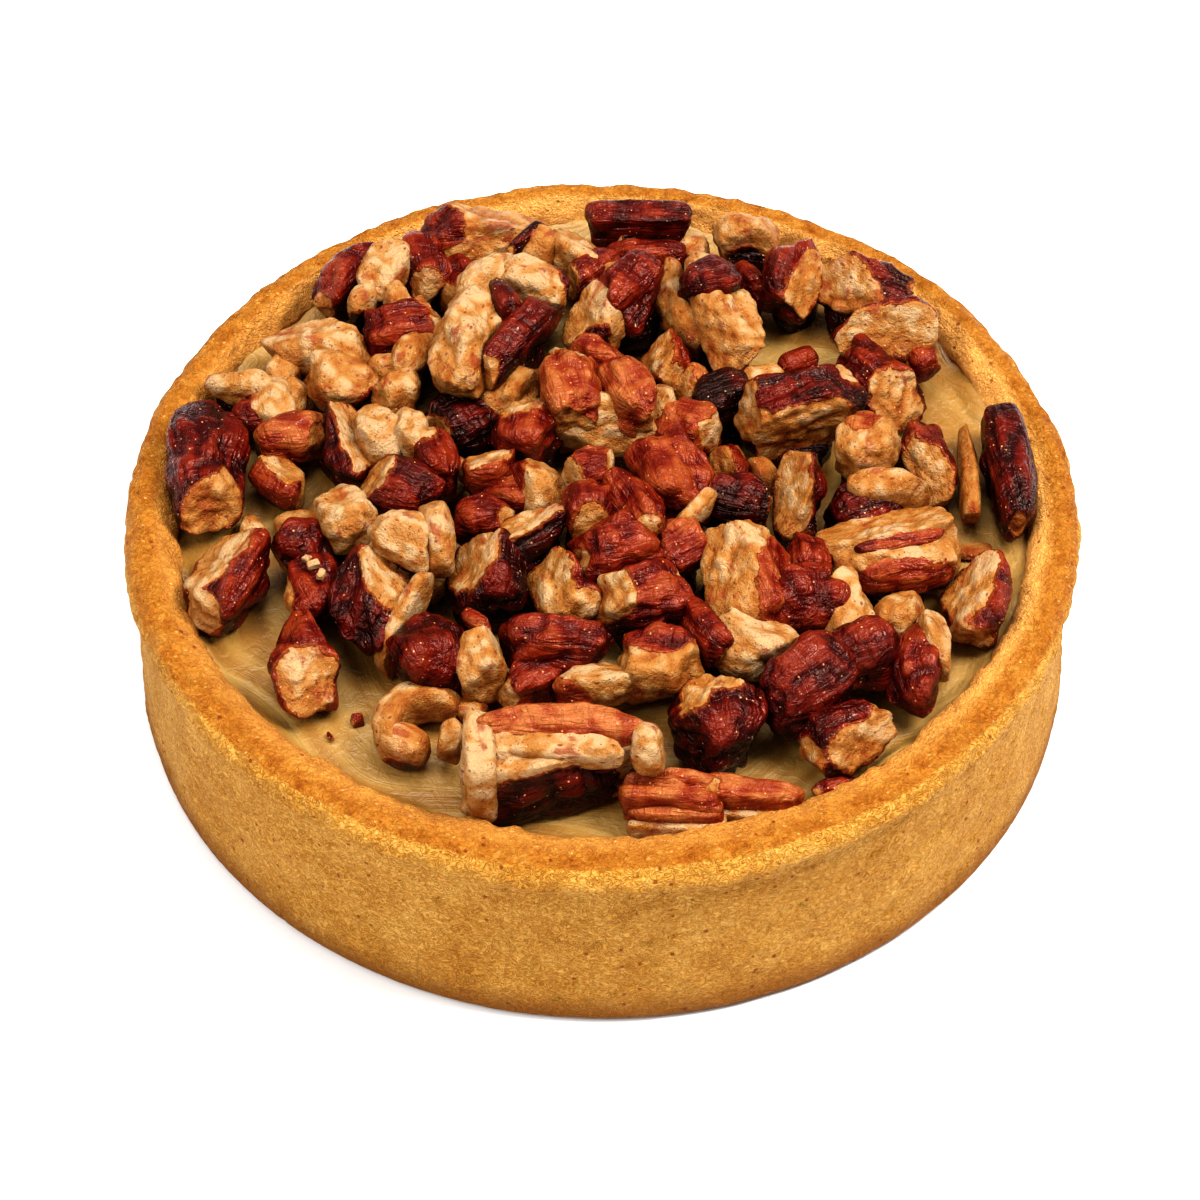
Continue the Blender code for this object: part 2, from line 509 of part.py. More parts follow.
def fuse(name, members, space):
    """Join fragments into one solid and keep what lies in the free space."""
    first, rest = members[0], members[1:]
    if rest:
        others = bpy.data.collections.new("to_fuse")
        bpy.context.scene.collection.children.link(others)
        for thing in rest:
            others.objects.link(thing)
        union = first.modifiers.new("Union", "BOOLEAN")
        union.operation = "UNION"
        union.operand_type = "COLLECTION"
        union.collection = others
        apply_modifiers(first)
        for thing in rest:
            bpy.data.objects.remove(thing, do_unlink=True)
        bpy.data.collections.remove(others)
    trim = first.modifiers.new("Trim", "BOOLEAN")
    trim.operation = "INTERSECT"
    trim.object = space
    apply_modifiers(first)
    first.name = name
    drop_scraps(first)
    first.data.materials.clear()
    first.data.materials.append(bpy.data.materials["pecan"])
    first.data.shade_smooth()


def main():
    clear_scene()
    collection = bpy.data.collections.new("pecan_pie")
    bpy.context.scene.collection.children.link(collection)
    guides = bpy.data.collections.new("guides")
    bpy.context.scene.collection.children.link(guides)
    make_crust(collection)
    make_filling(collection)
    material("pecan", PECAN_LOOK)
    space = make_free_space(guides)
    cluster_names = {piece: f"pecan_{cluster[0]}" for cluster in APART for piece in cluster}
    groups = {"pecan_heap": [make_core(collection)]}
    for index, part in enumerate(LAYOUT):
        name = cluster_names.get(part.piece, "pecan_heap")
        groups.setdefault(name, []).append(make_fragment(part, index, collection))
    for name, members in groups.items():
        fuse(name, members, space)
    bpy.data.objects.remove(space, do_unlink=True)
    bpy.data.collections.remove(guides)


main()
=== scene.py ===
"""The looks of a small pecan pie: baked shortcrust, cream filling and chopped pecans.

Lengths in the tables and functions below are in millimetres, and meshes are built in metres.
The camera looks along +Y from above the front, so -Y is the near side.
"""
import itertools
import math
from collections import namedtuple

import bmesh
import bpy
import numpy as np
from mathutils import Matrix, Vector


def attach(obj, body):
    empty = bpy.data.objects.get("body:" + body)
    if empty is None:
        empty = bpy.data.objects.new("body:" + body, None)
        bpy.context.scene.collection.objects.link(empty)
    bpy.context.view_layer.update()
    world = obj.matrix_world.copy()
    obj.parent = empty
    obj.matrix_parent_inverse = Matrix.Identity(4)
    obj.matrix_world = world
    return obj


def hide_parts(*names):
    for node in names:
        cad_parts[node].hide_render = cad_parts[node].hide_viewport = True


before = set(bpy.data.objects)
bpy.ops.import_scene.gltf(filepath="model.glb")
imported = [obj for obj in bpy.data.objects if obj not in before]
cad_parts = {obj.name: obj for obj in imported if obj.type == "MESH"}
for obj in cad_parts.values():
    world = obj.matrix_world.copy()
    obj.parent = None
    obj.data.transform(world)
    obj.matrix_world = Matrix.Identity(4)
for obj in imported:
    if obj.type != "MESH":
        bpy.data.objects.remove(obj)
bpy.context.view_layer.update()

MM = 0.001

# The camera, fitted to the photograph.
CAMERA_TARGET = (-0.17, -1.4, 9.7)
CAMERA_ELEVATION = 48.5
CAMERA_DISTANCE = 433.0
CAMERA_LENS = 121.5
SENSOR_WIDTH = 36.0

# Crust: the same driving sizes as the solid.
PIE_HEIGHT = 23.7
CREST_RADIUS = 47.8
LIP_RADIUS = 50.0
LIP_HEIGHT = 21.5
LIP_UNDERCUT = 0.4
NECK_RADIUS = 48.9
NECK_HEIGHT = 18.6
NECK_BEND = 0.6
NECK_RISE = 1.6
BASE_RADIUS = 49.6
BASE_ROUND = 0.9
WALL_INSIDE_TOP = 44.7
WALL_INSIDE_HEIGHT = 20.0
WALL_INSIDE_FOOT = 17.5
RIM_WAVE = 0.35
RIM_WAVE_FOOT = 12.0
# How far the opening is shifted to the back, and how much further its front edge is.
OPENING_SHIFT = 1.3
FRONT_SHIFT = 0.7
CRUST_STEPS = 560
# Relief of the crust: height, size and seed of each layer of crumb, then its pits and its crumbly edge.
CRUMB = ((0.14, 1.0, 11), (0.14, 2.3, 12), (0.3, 7.0, 13))
PIT_DEPTH = 0.35
EDGE_CRUMB = 0.2
# Heights between which the look of the crust changes.
EDGE_HEIGHTS = (18.5, 21.0)
BROWN_HEIGHTS = (19.0, 21.0)
SEAM_HEIGHTS = (20.8, 20.1)
FOOT_HEIGHTS = (0.3, 5.0)
# Where the brown of the rim ends outside, and how much nearer the middle it ends at the front.
BROWN_RADIUS = 49.9
BROWN_FRONT = 1.2

# Filling.
FILLING_TOP = 20.0
SWIRL_DEPTH = 0.8
CREAM_RADIUS = 45.9
CREAM_RINGS = 90
CREAM_STEPS = 300
# How far the cream climbs at its edge.
CREAM_CLIMB = 1.1

# A fragment's lumps, its furrow, and how its mesh grows with its length.
LUMPS = ((0.07, 2.6), (0.05, 4.4))
FURROW_WIDTH = 0.24
CUTS_PER_MM = 2.05
CUT_RANGE = (10, 34)
# Sizes of the finer relief, along a fragment, across it and up.
LOBE_SIZE = (5.5, 3.0, 3.0)
ACROSS_SIZE = (1.5, 4.0, 4.0)
ALONG_SIZE = (4.5, 1.3, 1.3)
WAVE_SIZE = 4.2
KNOB_SIZE = 2.0
GRAIN_SIZE = 1.0
# The relief is at its full height where a fragment's smallest half size is this or more.
FULL_RELIEF = 2.8
# How ragged the border between skin and flesh is: height and size of each layer.
BORDER = ((0.55, 2.2), (0.3, 0.8))
# How far a point counts as inside the flesh or the skin where no border is near.
FAR_INSIDE = 4.0
DEGREES_PER_RADIAN = 57.3
# Each fragment's own coordinates start at a random place up to this far away.
PLACE_SPREAD = 50
# How sharply a fracture meets the rounded surface.
CUT_EDGE = 26
# Shallow facets all round and the breaks across the ends, as shares of the half size.
FACET_COUNT = 8
FACET_DEPTH = (0.77, 0.96)
END_DEPTH = (0.76, 0.9)
# Painted shade: how much darker the tones get from the top of a fragment to its side.
UNDERSIDE_SHADE_SKIN = 0.16
UNDERSIDE_SHADE_FLESH = 0.24

# A fragment's seed is the number of its row, plus one of these for a small bit and for a support.
CHIP_SEEDS = 200
SUPPORT_SEEDS = 400

# Fragments with near-black skin, painted shade for the deep gaps, stand under every one whose underside is
# at least this high, and are at most this long.
SUPPORT_FROM = 21.8
SUPPORT_LENGTH = 7.5
SUPPORT_SHADE_SKIN = 0.05
SUPPORT_DETAIL = 0.6

# Light: name, place and size in metres, and watts.
LIGHTS = (
    ("key", (0.34, -0.02, 0.5), 0.22, 3.4),
    ("fill", (-0.34, -0.26, 0.48), 0.3, 2.1),
    ("top", (0.0, 0.06, 0.62), 0.34, 2.2),
)
SKY_STRENGTH = 0.28
FLOOR_SIZE = 6.0
FLOOR_DROP = 0.0002
FLOOR_COLOUR = (0.93, 0.93, 0.93, 1.0)

# One rounded fragment of a pecan. Its length runs along local X before it is turned.
# turn is yaw, pitch and roll in degrees. bend curls the length towards local +Y.
# taper narrows the +X end. groove is the depth of the furrow along the top.
# blunt is the power of the oval: 2 is an ellipsoid, and higher is squarer.
# Each cut is a fracture: the azimuth and elevation that it faces, and its depth from the middle.
# skin runs from 0, purple-black, to 1, orange-brown. flesh runs from 0, amber, to 1, pale cream.
# A peeled fragment is flesh all over. Each patch of the other surface gives the azimuth
# and elevation that it faces and the angle that it spans from its middle.
# worn is the chance that each end is broken off. At 0 the fragment has no shallow facets either.
Fragment = namedtuple(
    "Fragment",
    "piece at size turn bend taper groove blunt cuts skin flesh peeled patches worn",
)


def nut(piece, at, size, yaw=0, pitch=0, roll=0, bend=0, taper=0.0, groove=0.0, blunt=2.6, cuts=(),
        skin=0.4, flesh=0.7, peeled=False, patches=(), worn=0.5):
    """A row of the layout, with the plain values left out."""
    turn = (yaw, pitch, roll)
    look = (skin, flesh, peeled, patches, worn)
    return Fragment(piece, at, size, turn, bend, taper, groove, blunt, cuts, *look)


LAYOUT = [
    # Back left, from the rim inwards.
    nut(1, (-27.7, 31.8, 24.5), (12.5, 4.4, 7), yaw=58, patches=((240, 0, 30),)),
    nut(2, (-23.8, 31.2, 27), (9.5, 4.8, 5), yaw=76, taper=-0.15, cuts=((270, 50, 0.7),),
        peeled=True, flesh=0.85),
    nut(2, (-25.8, 27.4, 26.3), (5, 2.8, 4), yaw=62, peeled=True, flesh=0.85, skin=0.2,
        patches=((270, -40, 50),)),
    nut(2, (-22.2, 27.6, 26.3), (4.8, 2.8, 4), yaw=112, peeled=True, flesh=0.75),
    nut(3, (-19.6, 32.7, 25.3), (8.5, 5.2, 6.5), yaw=106, skin=0.42, patches=((300, 0, 32),)),
    nut(4, (-15.3, 31, 24), (8, 4.8, 6.5), yaw=104, skin=0.35, flesh=0.45, patches=((220, 10, 45),)),
    nut(5, (-21, 23.8, 25.3), (9, 7.6, 7), yaw=12, groove=0.3, skin=0.45),
    nut(6, (-13.6, 37.2, 25.8), (15, 7.4, 7.2), yaw=6, blunt=3, cuts=((275, 25, 0.6), (60, 60, 0.75)),
        peeled=True, flesh=0.6, skin=0.42, patches=((185, 55, 44),), worn=0.05),
    nut(7, (-7.4, 35.4, 25.3), (7, 5.4, 7), yaw=48, cuts=((250, 40, 0.7),), peeled=True, flesh=0.5),
    nut(7, (-8.2, 35.6, 27.6), (6.8, 1.4, 2.6), yaw=50, skin=0.15),
    nut(8, (-1.8, 34.8, 25), (12.5, 6.4, 6.6), yaw=-38, cuts=((50, 50, 0.6),), peeled=True, flesh=0.65),
    nut(9, (4.2, 41.2, 24.3), (10.6, 3.6, 4.4), yaw=-1, blunt=8, cuts=((270, 0, 0.75),), skin=0.32,
        flesh=None, worn=0),
    nut(10, (5.2, 37, 23), (8.6, 3.8, 5.4), yaw=-2, skin=0.42, worn=0),
    nut(11, (-14.4, 20.4, 27.6), (19, 7, 7.5), yaw=70, bend=-60, cuts=((200, 55, 0.8),), peeled=True,
        flesh=0.75),
    nut(11, (-7.4, 28, 27.6), (8.5, 5, 6.5), yaw=-16, peeled=True, flesh=0.85, skin=0.3,
        patches=((20, 10, 35),)),
    nut(11, (-10.4, 23.6, 29.3), (7.8, 3.2, 4.6), yaw=102, skin=0.28),
    nut(11, (-8.8, 19.2, 28.8), (14.5, 3.8, 5.4), yaw=56, skin=0.25),
    nut(12, (-30.2, 21.6, 24.3), (13.4, 5.6, 6.5), yaw=-8, bend=-75, cuts=((120, 60, 0.75),), peeled=True,
        flesh=0.75, skin=0.2, patches=((290, -10, 32),)),
    nut(12, (-34, 19.2, 23.2), (6, 3.8, 5), yaw=70, peeled=True, flesh=0.65),
    nut(13, (-28.2, 15.8, 24.8), (8.2, 6, 6.5), yaw=-28, peeled=True, flesh=0.6, skin=0.35,
        patches=((320, -20, 40),)),
    nut(14, (-20.4, 19.5, 25.4), (7.5, 3.8, 5), yaw=66, peeled=True, flesh=0.55),
    nut(14, (-22, 14.9, 24.4), (6.4, 5.2, 5.8), yaw=80, peeled=True, flesh=0.6),
    nut(14, (-23.1, 18, 24.6), (4.8, 3.2, 4.4), yaw=5, peeled=True, flesh=0.5),
    nut(15, (-38.5, 15.9, 24.4), (9.2, 3.4, 4.6), yaw=-6, peeled=True, flesh=0.75),
    nut(15, (-35.2, 13.9, 24), (7.8, 4.4, 5.6), yaw=-70, peeled=True, flesh=0.75,
        patches=((200, -20, 50),)),
    nut(15, (-37.2, 12.6, 23), (4.4, 3.2, 4), skin=0.35),
    # Left.
    nut(17, (-41.6, 4.6, 24), (19.2, 7.8, 7.6), yaw=91, cuts=((300, 30, 0.7),), skin=0.3, flesh=0.55),
    nut(18, (-27, 6.8, 25.4), (12.8, 4.8, 6.6), yaw=104, cuts=((15, 45, 0.5),), skin=0.22, flesh=0.85),
    nut(19, (-23.5, 6.8, 26.3), (6.8, 5, 6.8), yaw=100, peeled=True, flesh=0.8),
    nut(19, (-20, 6.3, 26.3), (6.8, 4.4, 6.8), yaw=95, peeled=True, flesh=0.85),
    nut(19, (-17.8, 3.9, 25.8), (7.8, 4.4, 6.6), yaw=112, skin=0.42, patches=((140, 50, 42),)),
    nut(20, (-32.9, 9.2, 23.6), (9, 5.6, 6.4), yaw=8, skin=0.7, flesh=0.4, patches=((330, 10, 45),)),
    nut(21, (-33.8, 3.8, 22.9), (7, 4.6, 5.4), yaw=-38, cuts=((40, 60, 0.6),), skin=0.5, flesh=0.75),
    nut(22, (-21.6, -1.6, 26.8), (10.6, 6, 6.4), yaw=-24, cuts=((160, 40, 0.5),), skin=0.3, flesh=0.75),
    nut(23, (-26.4, -4.6, 25.8), (8.8, 6, 6.6), yaw=-58, cuts=((100, 60, 0.7),), peeled=True, flesh=0.8),
    nut(24, (-23, -14, 25.4), (15, 8.4, 10), yaw=79, cuts=((15, 50, 0.55),), skin=0.24, flesh=0.75),
    nut(24, (-20.3, -10, 28.8), (8, 5.6, 4.6), yaw=-30, peeled=True, flesh=0.9),
    nut(24, (-16.9, -9, 28), (9.6, 3.6, 6.8), yaw=-80, peeled=True, flesh=0.8),
    nut(24, (-20, -17.6, 24.9), (14, 2.4, 5.4), yaw=242, pitch=-28, peeled=True, flesh=0.75),
    nut(25, (-38.5, -10.5, 23.9), (13.6, 8, 7.6), yaw=72, cuts=((150, 50, 0.5),), flesh=0.8),
    nut(26, (-30.8, -7.4, 24), (6.6, 5.6, 7), yaw=20, skin=0.25),
    nut(26, (-29.7, -12.6, 23.7), (7.4, 6, 6.6), yaw=110, skin=0.35, patches=((200, 0, 42),)),
    nut(27, (-31.6, -0.9, 21.1), (5.8, 3.8, 2.2), yaw=20, peeled=True, flesh=0.5),
    nut(28, (-36.6, -1.7, 21.1), (4.8, 2.4, 2.2), yaw=112, peeled=True, flesh=0.5),
    nut(29, (-29.8, -22.7, 23.6), (12, 7.2, 7), yaw=109, cuts=((280, 45, 0.55),), skin=0.48, flesh=0.75),
    # Middle.
    nut(30, (-15, 11.9, 23), (9, 7.6, 6.6), yaw=30, skin=0.08),
    nut(31, (-9.5, 14.5, 24), (8.4, 6.8, 7.4), yaw=60, peeled=True, flesh=0.55),
    nut(32, (-7.8, 8.2, 26.3), (8.6, 7.2, 7.4), yaw=80, cuts=((110, 55, 0.65),), skin=0.5),
    nut(33, (-3.4, 12.6, 27.3), (13, 5.8, 8), yaw=98, bend=-30, skin=0.74),
    nut(33, (3.1, 12, 27.3), (10.8, 6, 8), yaw=114, skin=0.74),
    nut(33, (-0.2, 16.9, 27), (7.4, 4.6, 6.4), yaw=-20, skin=0.6),
    nut(33, (1, 9.4, 25.4), (12.4, 5.4, 6.8), yaw=3, cuts=((270, 30, 0.7),), peeled=True, flesh=0.75),
    nut(34, (3.1, 27.4, 27.3), (10.2, 6.4, 7.4), yaw=62, skin=0.42),
    nut(34, (-0.6, 24.4, 25.9), (9.6, 6.4, 6.8), yaw=68, cuts=((200, 50, 0.6),), peeled=True, flesh=0.75,
        patches=((280, 20, 35),)),
    nut(35, (6.7, 18.2, 25.4), (8, 6.4, 6.8), yaw=105, cuts=((170, 45, 0.4),), skin=0.58, flesh=0.65),
    nut(36, (13, 24.2, 27.2), (18, 6.8, 8), yaw=102, cuts=((10, 60, 0.7),), peeled=True, flesh=0.66),
    nut(36, (11.9, 27.2, 28.6), (7.6, 6.4, 5.4), yaw=10, groove=0.35, roll=90, skin=0.35),
    nut(36, (9.4, 25.2, 25), (8.8, 4.8, 6.2), yaw=115, peeled=True, flesh=0.5),
    nut(37, (7.2, 30.4, 24.4), (9, 2.8, 5.6), yaw=82, peeled=True, flesh=0.6),
    # Back right.
    nut(38, (16, 37.8, 24.6), (7.4, 6, 8.6), cuts=((270, 10, 0.6),), peeled=True, flesh=0.6, skin=0.05,
        patches=((270, -15, 50),)),
    nut(39, (21.2, 31.6, 25.6), (11.2, 6, 6.8), yaw=74, groove=0.3, blunt=3.4, cuts=((330, 40, 0.65),),
        flesh=0.65),
    nut(40, (16.3, 31.4, 24.4), (5.4, 3.2, 4.8), yaw=-60, skin=0.5),
    nut(41, (28.5, 29, 25.9), (11.6, 7.2, 7.4), yaw=-25, cuts=((215, 40, 0.45),), skin=0.22, flesh=0.65),
    nut(42, (30.6, 22.3, 26.2), (13.8, 5.2, 7.6), yaw=15, blunt=3.6, cuts=((275, 30, 0.45),), skin=0.42,
        flesh=0.75),
    nut(42, (34.6, 20.6, 23.4), (5, 3.2, 4), yaw=30),
    nut(43, (29.6, 16.6, 24.3), (12.6, 7, 7), yaw=-52, cuts=((300, 40, 0.6),), skin=0.35, flesh=0.65),
    nut(44, (21.3, 21.1, 22.4), (4.8, 3, 3.8), yaw=30, skin=0.35),
    nut(45, (12.7, 12.8, 26.8), (7, 5.6, 2.6), yaw=15, pitch=8, skin=0.03),
    nut(45, (17.4, 15.5, 25.8), (6.2, 4.2, 3.4), yaw=10, peeled=True, flesh=0.75),
    nut(46, (20.9, 10.1, 27.2), (15.8, 8.8, 8.6), yaw=25, groove=0.3, blunt=3,
        cuts=((200, 20, 0.75), (285, -5, 0.6)), skin=0.22),
    nut(47, (10, 15.7, 24.9), (5.8, 3.6, 5), yaw=65, skin=0.85, flesh=0.5, patches=((200, 20, 60),)),
    nut(48, (9, 9, 25.4), (7.8, 6.2, 6.6), yaw=-20, skin=0.62),
    nut(49, (7.5, 0, 27.2), (11.4, 7.8, 7.4), yaw=-68, groove=0.15, blunt=3, skin=0.58),
    nut(50, (13.7, 5.1, 23.4), (5.2, 4.2, 5), yaw=80, skin=0.55, flesh=0.4, patches=((200, 30, 55),)),
    nut(52, (14, -2.4, 25.4), (8.2, 5.2, 6.6), yaw=-20, skin=0.15),
    nut(53, (9.5, -5.6, 27.8), (7.8, 2.2, 3.6), yaw=56, peeled=True),
    nut(54, (7.8, -9.2, 25.9), (5.8, 5.2, 6.2), yaw=30, skin=0.6),
    nut(55, (-1, -0.2, 28.3), (6, 5.6, 6.4), yaw=20, skin=0.52, patches=((190, 10, 22),)),
    nut(55, (-1.3, -5.4, 28.3), (6.8, 5.4, 6.8), yaw=95, skin=0.48),
    nut(55, (3.6, -5.8, 28.3), (9.2, 5.2, 6.8), yaw=112, skin=0.5),
    nut(55, (1.6, -10.3, 27.3), (9.8, 7, 7.4), yaw=12, skin=0.45, patches=((215, 5, 28),)),
    nut(56, (4.3, -16, 26.3), (10.8, 6.8, 7.6), yaw=14, blunt=3, cuts=((200, 35, 0.75),), skin=0.45,
        flesh=0.65),
    nut(57, (-11.5, 2, 25.8), (5.6, 5.2, 6.6), cuts=((120, 60, 0.6),), skin=0.5, flesh=0.75),
    nut(57, (-6.6, -0.4, 25.8), (7.8, 5.4, 6.8), yaw=-62, peeled=True, flesh=0.65, skin=0.5,
        patches=((180, 20, 45),)),
    nut(57, (-9, -1, 24.9), (7.4, 4.2, 5.6), yaw=-10, skin=0.52),
    nut(58, (-14.8, 4.4, 23), (3.8, 2.2, 3.4), yaw=100, peeled=True, flesh=0.4),
    nut(59, (-11.6, -12.6, 26.3), (10.2, 8, 8), yaw=94, cuts=((170, 45, 0.5),), skin=0.2, flesh=0.8),
    nut(60, (-7.3, -8, 27.8), (9, 5.6, 5.4), yaw=34, pitch=8, cuts=((130, 60, 0.45),), skin=0.06, flesh=0.8),
    nut(61, (-12.3, -5.3, 26.3), (6.8, 4.6, 6), yaw=8, skin=0.45),
    nut(62, (-4, -14.3, 25.4), (9.2, 6, 7), yaw=110, cuts=((190, 45, 0.5),), skin=0.3, flesh=0.65),
    # Right.
    nut(63, (20.3, -1.2, 26.3), (12, 5, 8.2), yaw=84, cuts=((185, 40, 0.4),), skin=0.2, flesh=0.75),
    nut(64, (14.4, -12.2, 26.8), (12.4, 8.8, 8.2), yaw=98, taper=0.2, cuts=((190, 50, 0.6),), peeled=True,
        flesh=0.72, skin=0.65, patches=((345, 12, 54),)),
    nut(65, (28, 4.5, 26.3), (9, 6.2, 7.4), yaw=80, peeled=True, skin=0.8,
        patches=((120, 60, 32),)),
    nut(65, (30, -0.4, 25.8), (9.6, 3.6, 5.6), yaw=5, peeled=True, flesh=0.65),
    nut(65, (27.5, -1.6, 23.6), (9, 5.6, 6.6), yaw=20, skin=0.2),
    nut(66, (30, -8, 25.4), (13.4, 8.4, 8.8), yaw=12, roll=30, groove=0.3, blunt=3.4,
        cuts=((110, 60, 0.55),), peeled=True, skin=0.6, flesh=0.75, patches=((280, -20, 48),), worn=0),
    nut(66, (30.6, -11, 24.9), (10.6, 4.2, 5), yaw=12, skin=0.66, worn=0),
    nut(66, (30.6, -9.6, 27.8), (9.4, 1.8, 1.8), yaw=15, skin=0.6, worn=0),
    nut(67, (21, -15.2, 25.3), (8.2, 7.2, 7.8), yaw=100, skin=0.38),
    nut(67, (24.8, -16, 24.8), (8.4, 5.8, 7.4), yaw=105, peeled=True),
    nut(68, (21.2, -9.6, 24.9), (5.8, 4.6, 6), yaw=100),
    nut(69, (34.2, 5.2, 23.7), (12.4, 5.2, 6.8), yaw=100, cuts=((240, 45, 0.4),), skin=0.42, flesh=0.65),
    nut(70, (38.7, 5, 22.5), (16.6, 2.2, 4.6), yaw=90, peeled=True, flesh=0.5),
    nut(71, (42.8, 4.2, 24), (16, 4.6, 7), yaw=96, blunt=3.2, skin=0.22, flesh=0.4,
        patches=((250, 10, 24),), worn=0),
    nut(72, (30.4, -16.4, 23.7), (6.6, 5.2, 7), yaw=80, cuts=((90, 70, 0.7),), peeled=True, flesh=0.65),
    nut(73, (31.8, -23, 23.9), (10.4, 5.4, 7.4), yaw=75),
    nut(73, (33.6, -20.7, 24.4), (9.4, 3.4, 7), yaw=97, peeled=True, flesh=0.75),
    nut(74, (38.4, -14.2, 23.7), (10.8, 6.8, 7), yaw=82, cuts=((165, 50, 0.45),), flesh=0.8),
    # Front.
    nut(75, (-17, -22.4, 24.6), (8.8, 7.6, 8.6), yaw=-72, blunt=3, skin=0.25),
    nut(75, (-12.2, -23.3, 24.6), (8.4, 5.6, 8.4), yaw=100, peeled=True, flesh=0.65),
    nut(76, (-4.4, -21.8, 26.3), (12, 5, 6.6), yaw=-4, bend=-25, skin=0.42),
    nut(78, (-20, -27.6, 23), (13.5, 3, 4.8), yaw=-140, bend=190, peeled=True, flesh=0.55, skin=0.3,
        patches=((230, -50, 50),), worn=0),
    nut(78, (-19.4, -32.4, 22.6), (4.8, 3.8, 4.4), yaw=-20, peeled=True, flesh=0.5, skin=0.25,
        patches=((250, -40, 45),), worn=0),
    nut(78, (-15, -32, 23), (4.4, 2.6, 5.2), yaw=80, peeled=True, flesh=0.5),
    nut(79, (-4.2, -37, 25), (18.2, 7.4, 9.2), yaw=4, blunt=6, cuts=((90, 75, 0.7), (290, 0, 0.55)),
        peeled=True, flesh=0.85, skin=0.24, patches=((278, -12, 58),), worn=0),
    nut(79, (-4, -34.8, 28.9), (17, 3.8, 4.8), bend=-30, skin=0.9, worn=0),
    nut(79, (-3.2, -37.2, 28.2), (11.4, 3.6, 3.8), yaw=-3, blunt=3.2, peeled=True, flesh=0.9, worn=0),
    nut(79, (-11.8, -37.2, 25.6), (8.4, 3.2, 9.2), yaw=92, blunt=5, peeled=True, flesh=0.9, skin=0.1,
        patches=((195, -25, 26),), worn=0),
    nut(80, (-0.6, -25.8, 24.9), (8.6, 5, 6.4), yaw=8, cuts=((90, 60, 0.5),), peeled=True, skin=0.75,
        flesh=0.75, patches=((235, -15, 52),)),
    nut(81, (-7, -25, 23.5), (8.2, 4.8, 5.6), yaw=35),
    nut(82, (5.8, -23.8, 24.9), (8.8, 6.6, 8.2), yaw=-5, blunt=3.4, peeled=True, skin=0.42, flesh=0.55,
        patches=((95, 52, 50),)),
    nut(83, (10.4, -20.4, 25.9), (8.8, 3.4, 6), yaw=-58),
    nut(83, (15.2, -20.8, 24.9), (9.8, 7.6, 7.6), yaw=-35, cuts=((60, 60, 0.7),), peeled=True, flesh=0.85),
    nut(84, (11.4, -30.9, 24.8), (10.2, 9.2, 8.8), yaw=97, groove=0.25, blunt=3.4, cuts=((125, 60, 0.8),),
        skin=0.26, flesh=0.65, worn=0.02),
    nut(85, (20.6, -26.7, 25.6), (11, 7.2, 8.4), yaw=42, skin=0.28, worn=0),
    nut(85, (26.3, -22.7, 25.4), (7.4, 5.8, 7.6), yaw=25, skin=0.36, worn=0),
    nut(86, (24.4, -32.2, 23.7), (11.2, 6.6, 7), yaw=28, groove=0.2, cuts=((315, 25, 0.55),), skin=0.3,
        flesh=0.65),
    nut(87, (7, -39, 23), (9.2, 4.2, 4.8), yaw=-3, groove=0.4, blunt=7, skin=0.78, flesh=0.75,
        patches=((270, -42, 55),), worn=0),
    nut(87, (14.6, -38.7, 22.4), (9.4, 3.4, 4), yaw=-7, taper=0.25, blunt=4, skin=0.8, flesh=0.75,
        patches=((205, 40, 34), (270, -50, 50)), worn=0),
    # More lobes of fragments that stand above.
    nut(11, (-12, 28.8, 27.4), (8.6, 5, 6.2), yaw=20, peeled=True, flesh=0.85),
    nut(8, (-1.2, 31.6, 25.4), (7.4, 4.4, 5.8), yaw=40, skin=0.42),
    nut(33, (6.3, 10.8, 26), (6, 4, 5.4), yaw=80, peeled=True, flesh=0.75),
    nut(79, (-9, -36.8, 27.4), (6, 4.8, 5), yaw=10, peeled=True, flesh=0.85, worn=0),
    nut(87, (7, -40.5, 22.4), (9, 2.8, 3), yaw=-3, blunt=4, skin=0.78, worn=0),
    nut(87, (7.3, -41.2, 21.4), (9.2, 2.4, 2.2), yaw=-3, blunt=7, peeled=True, flesh=1, worn=0),
    nut(87, (14.6, -39.9, 21.4), (8.6, 2.2, 2), yaw=-7, blunt=6, peeled=True, flesh=0.95, worn=0),
]

